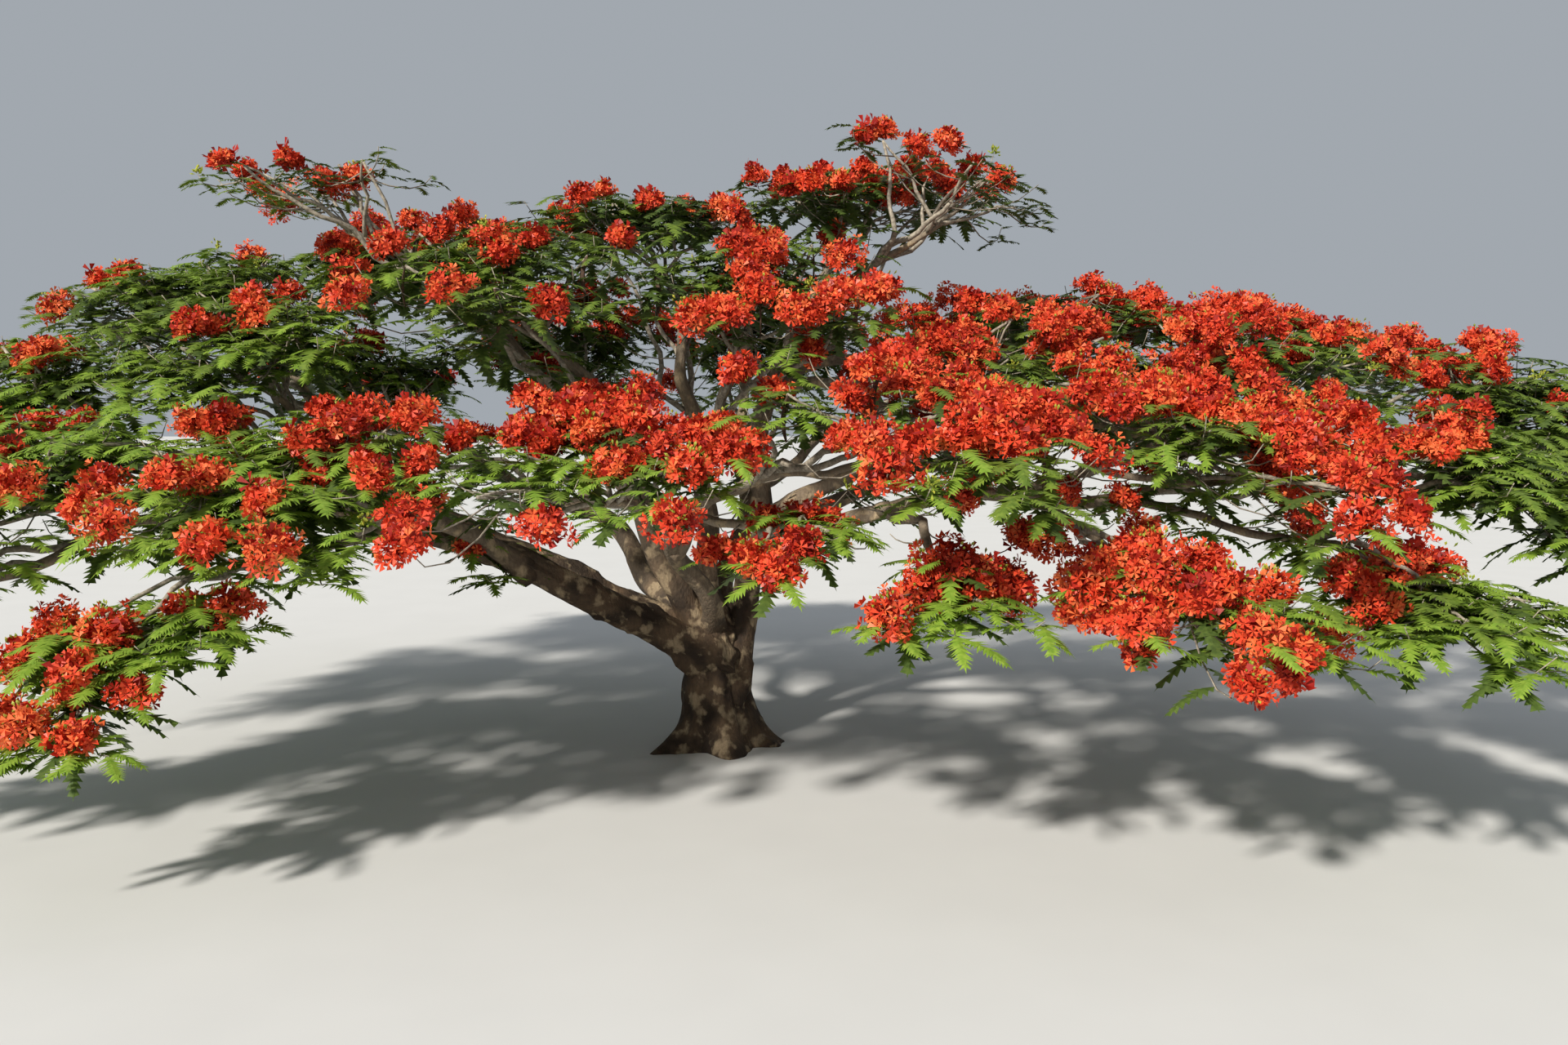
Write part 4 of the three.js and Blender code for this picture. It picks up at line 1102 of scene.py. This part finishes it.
def woody_finish(name, dark, light):
    """Thin bark or dry pod: two colours by noise with a fine bump."""
    finish = Finish(name)
    grain = finish.noise(24.0, 4.0)
    base = finish.blend(finish.ramp(grain, 0.3, 0.7), rgb(dark), rgb(light))
    bump = finish.bump(0.4, 0.005, grain)
    return finish.close(finish.surface(base, 0.7 + 0.2 * grain, Normal=bump))


def rgb(colour):
    """A colour with full cover."""
    return (*colour, 1.0)


FINISHES = {name: living_finish(name, *row) for name, row in LIVING.items()}
FINISHES |= {name: woody_finish(name, *row) for name, row in WOODY.items()}


# The pieces. Those of the crown draw from one source, so their order stays.


def add_bark():
    """Trunk, boughs and limbs up to their masses, and on to the hubs, as one piece."""
    first, step = BARK_SEED
    tubes = [bark_tube(limb, first + step * i) for i, limb in enumerate(TREE_LIMBS)]
    *mesh, pale = joined([trunk_bark(), *tubes])
    finish, values = bark_finish(), {"pale": pale}
    bark = add_piece("bark", *mesh, finish, "bark", smooth=True, attributes=values)
    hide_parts("trunk", *[limb.wood for limb in TREE_LIMBS if limb.wood])


def settle_shoots(parts, rng):
    """All shoots as one, each with a chance of its own, and with whether it carries buds, how large
    its head of blossom is, whether that is ripe, and the middle of its curve."""
    keys = ("feet", "tips", "facing", "blooming", "leafy", "low", "inner")
    shoots = SimpleNamespace(**{
        key: np.concatenate([getattr(part, key) for part in parts]) for key in keys
    })
    count, heights = len(shoots.feet), shoots.tips[:, 2]
    shoots.chance = rng.random(count)
    shoots.buds = ~shoots.blooming & (rng.random(count) < BUDS["share"])
    size = HEAD_RADIUS * (HEAD_SIZES["least"] + HEAD_SIZES["spread"] * shoots.chance)
    shoots.size = size * np.where(heights > TOP_HEADS["above"], TOP_HEADS["size"], 1.0)
    ripe = np.where(heights < RIPE_HEADS["below"], RIPE_HEADS["low"], RIPE_HEADS["high"])
    shoots.ripe = shoots.blooming & (rng.random(count) < ripe)
    span = np.linalg.norm(shoots.tips - shoots.feet, axis=1, keepdims=True)
    shoots.bends = shoots.tips - shoots.facing * SHOOT_BEND * span
    return shoots


def add_twigs(rng):
    """Twigs, bare branches and shoots as one piece. Returns it and the shoots."""
    of_masses = [grow_shoots(limb) for limb in TREE_LIMBS]
    branches = [long_branches(limb, BRANCH_SEED + i) for i, limb in enumerate(TREE_LIMBS)]
    parts = [
        rods_of(kind, *map(np.concatenate, zip(*curves)), rng)
        for kind, curves in (("twig", [one.twigs for one in of_masses]), ("branch", branches))
    ]
    off_limbs = [limb_shoots(limb, LIMB_SHOOT_SEED + i) for i, limb in enumerate(TREE_LIMBS)]
    shoots = settle_shoots(of_masses + off_limbs, rng)
    parts.append(rods_of("shoot", shoots.feet, shoots.bends, shoots.tips, rng))
    finish = FINISHES["twig_grey_brown"]
    return add_piece("twigs", *joined(parts), finish, "bark", smooth=True), shoots


def on_shoots(shoots, which, t):
    """Places at t on the quadratic curves of some of the shoots."""
    t = t[:, None]
    a, b, c = shoots.feet[which], shoots.bends[which], shoots.tips[which]
    return (1 - t) ** 2 * a + 2 * (1 - t) * t * b + t**2 * c


def add_leaves(name, green, pairs, leaves, chosen, rng):
    """Those of the leaves that are chosen and don't reach far out of the box round the solids."""
    base, forward, length, _ = leaves
    chosen = chosen & near_box(base + LEAF_END * length[:, None] * forward)
    mesh = leaf_meshes(*[values[chosen] for values in leaves], pairs, rng)
    add_pieces(f"leaves_{name}", *mesh, FINISHES[f"leaf_{green}"], "leaf")


def add_outer_leaves(shoots, rng):
    """Leaves on a golden spiral round the last part of each shoot, tilted to its slope."""
    count = len(shoots.feet)
    left, right = LEAF_FADE
    rightness = np.clip((shoots.tips[:, 0] - left) / (right - left), 0, 1)
    few = (rng.random(count) < FEW_LEAVES * rightness) & shoots.blooming
    carried = np.where(shoots.blooming, np.where(few, 1, LEAVES_IN_BLOOM), LEAVES_BARE)
    carried = carried * shoots.leafy
    shoot = np.repeat(np.arange(count), carried)
    order = np.concatenate([np.arange(n) for n in carried])
    many = len(shoot)
    base = on_shoots(shoots, shoot, LEAF_PLACES["last"] - LEAF_PLACES["step"] * order)
    phi = shoots.chance[shoot] * TURN + order * GOLDEN_ANGLE
    phi = phi + rng.normal(0, LEAF_PLACES["turn"], many)
    lift = rng.uniform(*OUTER_LEAF["lift"], many)
    forward = np.column_stack([np.cos(phi), np.sin(phi), lift])
    slope = shoots.facing[shoot] * [1, 1, 0]
    tilt = np.where(shoots.low[shoot], LEAF_TILT["low"], LEAF_TILT["high"])[:, None]
    forward = unit(forward + tilt * slope - UP * tilt * (forward * slope).sum(1, keepdims=True))
    length = LEAF_LENGTH * rng.uniform(*OUTER_LEAF["length"], many)
    length = length * np.where(shoots.inner[shoot], 1.0, TUFT_LEAVES)
    droop = OUTER_LEAF["lifted"] * lift + rng.uniform(*OUTER_LEAF["droop"], many)
    x, _, z = shoots.tips[shoot].T
    # Leaves high up and to the right take the deeper greens, partly their own tone and partly
    # painted shade.
    green = (z - GREEN["middle"]) / GREEN["spread"] + rng.normal(0, GREEN["drift"], count)[shoot]
    kind = np.searchsorted(GREEN["limits"], green + GREEN["rightward"] * x)
    for i, (name, pairs) in enumerate(PINNA_PAIRS.items()):
        add_leaves(name, name, pairs, (base, forward, length, droop), kind == i, rng)


def add_inner_leaves(shoots, rng):
    """Older leaves in the shade further down each shoot, which close the crown from within. They
    are all deep green, which is partly their age and partly painted shade.
    """
    shoot = np.repeat(np.flatnonzero(shoots.inner & shoots.leafy), 2)
    many = len(shoot)
    base = on_shoots(shoots, shoot, rng.uniform(*INNER_LEAF["on"], many))
    phi = rng.uniform(0, TURN, many)
    lift = rng.uniform(*INNER_LEAF["lift"], many)
    forward = unit(np.column_stack([np.cos(phi), np.sin(phi), lift]))
    length = LEAF_LENGTH * rng.uniform(*INNER_LEAF["length"], many)
    leaves = (base, forward, length, rng.uniform(*INNER_LEAF["droop"], many))
    add_leaves("inner", "deep", INNER_PAIRS, leaves, np.full(many, True), rng)


def add_flowers(name, colour, flowers, chosen, rng):
    """The chosen ones of some flowers, given by centre, facing, radius and spin."""
    mesh = flower_meshes(*[values[chosen] for values in flowers], rng)
    add_pieces(f"blossom_{name}", *mesh, FINISHES[f"petal_{colour}"], "blossom")


def add_heads(shoots, rng):
    """Heads of blossom: flowers on a golden spiral over a flattened dome with smooth lobes, some of
    them sunk into it."""
    heads = np.flatnonzero(shoots.blooming)
    j = np.arange(FLOWERS)
    head = np.repeat(heads, FLOWERS)
    many = len(head)
    polar = np.tile(np.arccos(1 - (j + 0.5) / FLOWERS * HEAD_OPENING), len(heads))
    polar = polar + rng.normal(0, HEAD_STRAY["polar"], many)
    phi = np.tile(j * GOLDEN_ANGLE, len(heads)) + TURN * shoots.chance[head]
    phi = phi + rng.normal(0, HEAD_STRAY["round"], many)
    axis = shoots.facing[head]
    round_it = perpendicular(axis, phi) * np.sin(polar)[:, None]
    ball = round_it + axis * np.cos(polar)[:, None]
    flat_ball = round_it + axis * (HEAD_FLATNESS * np.cos(polar))[:, None]
    places = HEAD_LOBES["size"] * ball + HEAD_LOBES["shift"] * shoots.chance[head][:, None]
    lobes = 1 + HEAD_LOBES["height"] * lumps(places, LOBE_SEED)
    lobes *= 1 - HEAD_LOBES["under"] * np.clip(-np.cos(polar), 0, 1)
    depth = rng.uniform(*HEAD_DEPTH["range"], many)
    depth = depth - HEAD_DEPTH["sink"] * (rng.random(many) < HEAD_DEPTH["sunk"])
    centre = shoots.tips[head] + flat_ball * (shoots.size[head] * lobes * depth)[:, None]
    look = unit(ball + rng.normal(0, HEAD_STRAY["facing"], (many, 3)))
    radius = FLOWER_RADIUS * rng.uniform(*FLOWER_SIZES, many)
    flowers = (centre, look, radius, rng.uniform(0, TURN, many))
    tint = rng.random(len(shoots.feet))[head] * TINT["head"] + rng.random(many) * TINT["own"]
    # Painted light: flowers that face up or stand out are tinted towards orange, and sunk ones
    # towards crimson as painted shade.
    tint = tint - TINT["up"] * (ball @ UP)
    tint -= TINT["ripe"] * shoots.ripe[head] + TINT["out"] * (depth - TINT["middle"])
    kind = np.where(tint > TINTS["crimson"], 2, np.where(tint < TINTS["orange"], 1, 0))
    near = near_box(centre)
    for i, name in enumerate(("scarlet", "orange", "crimson")):
        add_flowers(name, name, flowers, (kind == i) & near, rng)


def add_hearts(shoots, rng):
    """Dark crimson petals in the heart of each head: painted shade deep in the blossom."""
    head = np.repeat(np.flatnonzero(shoots.blooming), HEART_FLOWERS)
    many, facing = len(head), shoots.facing[head]
    place = rng.uniform(-HEART["spread"], HEART["spread"], (many, 3)) + HEART["out"] * facing
    flowers = (
        shoots.tips[head] + HEAD_RADIUS * place,
        unit(facing + rng.normal(0, HEART["facing"], (many, 3))),
        rng.uniform(*HEART["radius"], many),
        rng.uniform(0, TURN, many),
    )
    add_flowers("painted_shade", "crimson", flowers, np.full(many, True), rng)


def add_buds(shoots, rng):
    """A few buds out of every head, more where it is ripe, and whole lime green clusters on shoots
    that are still to bloom."""
    heads = np.flatnonzero(shoots.blooming)
    head = np.concatenate([
        np.repeat(heads, np.where(shoots.ripe[heads], BUDS["ripe"], BUDS["head"])),
        np.repeat(np.flatnonzero(shoots.buds), BUDS["cluster"]),
    ])
    many = len(head)
    axis = unit(shoots.facing[head] + rng.normal(0, BUD["facing"], (many, 3)))
    in_cluster, in_head = (rng.uniform(*BUD[where], many) for where in ("in_cluster", "in_head"))
    deep = np.where(shoots.buds[head], in_cluster, in_head)
    centre = shoots.tips[head] + axis * (shoots.size[head] * deep)[:, None]
    length, radius = (rng.uniform(*BUD[measure], many) for measure in ("length", "radius"))
    add_piece("buds", *bud_meshes(centre, axis, length, radius), FINISHES["bud_lime"], "leaf")


add_bark()
crown_draws = np.random.default_rng(CROWN_SEED)
twigs, all_shoots = add_twigs(crown_draws)
for add in (add_outer_leaves, add_inner_leaves, add_heads, add_hearts, add_buds):
    add(all_shoots, crown_draws)
add_piece("pods", *pod_meshes(*pod_places()), FINISHES["pod_brown"], "bark", smooth=True)
all_foliage = [f"foliage_{mass.name}" for mass in MASSES]
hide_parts(*all_foliage)

# Floor, light and camera


def studio():
    """A pale floor, a broad warm key from the upper left front, and an even pale surround."""
    mesh = bpy.data.meshes.new("floor")
    side = FLOOR_REACH
    corners = [(-side, -side, 0), (side, -side, 0), (side, side, 0), (-side, side, 0)]
    mesh.from_pydata(corners, [], [(0, 1, 2, 3)])
    finish = Finish("floor_pale")
    grey = finish.blend(finish.noise(0.8, 2.0), *[rgb(value) for value in FLOOR_COLOURS])
    mesh.materials.append(finish.close(finish.surface(grey, 0.9)))
    placed("floor", mesh)
    world = bpy.data.worlds.new("surround")
    world.use_nodes = True
    sky = world.node_tree.nodes["Background"]
    sky.inputs["Color"].default_value = SKY_COLOUR
    sky.inputs["Strength"].default_value = SKY_STRENGTH
    bpy.context.scene.world = world
    key = bpy.data.lights.new("key", "SUN")
    key.energy, key.angle, key.color = SUN_STRENGTH, math.radians(SUN_WIDTH), SUN_COLOUR
    placed("key", key).rotation_euler = [math.radians(degrees) for degrees in SUN_TURN]


def camera():
    """The photograph's view, a little below level."""
    data = bpy.data.cameras.new("camera")
    data.sensor_width = CAMERA_WIDTH
    data.lens = CAMERA_LENS
    data.clip_end = CAMERA_SIGHT
    eye = placed("camera", data)
    eye.location = CAMERA_PLACE
    eye.rotation_euler = (math.radians(90 + CAMERA_PITCH), 0, 0)
    bpy.context.scene.camera = eye


studio()
camera()
bpy.context.scene.view_settings.view_transform = "Standard"
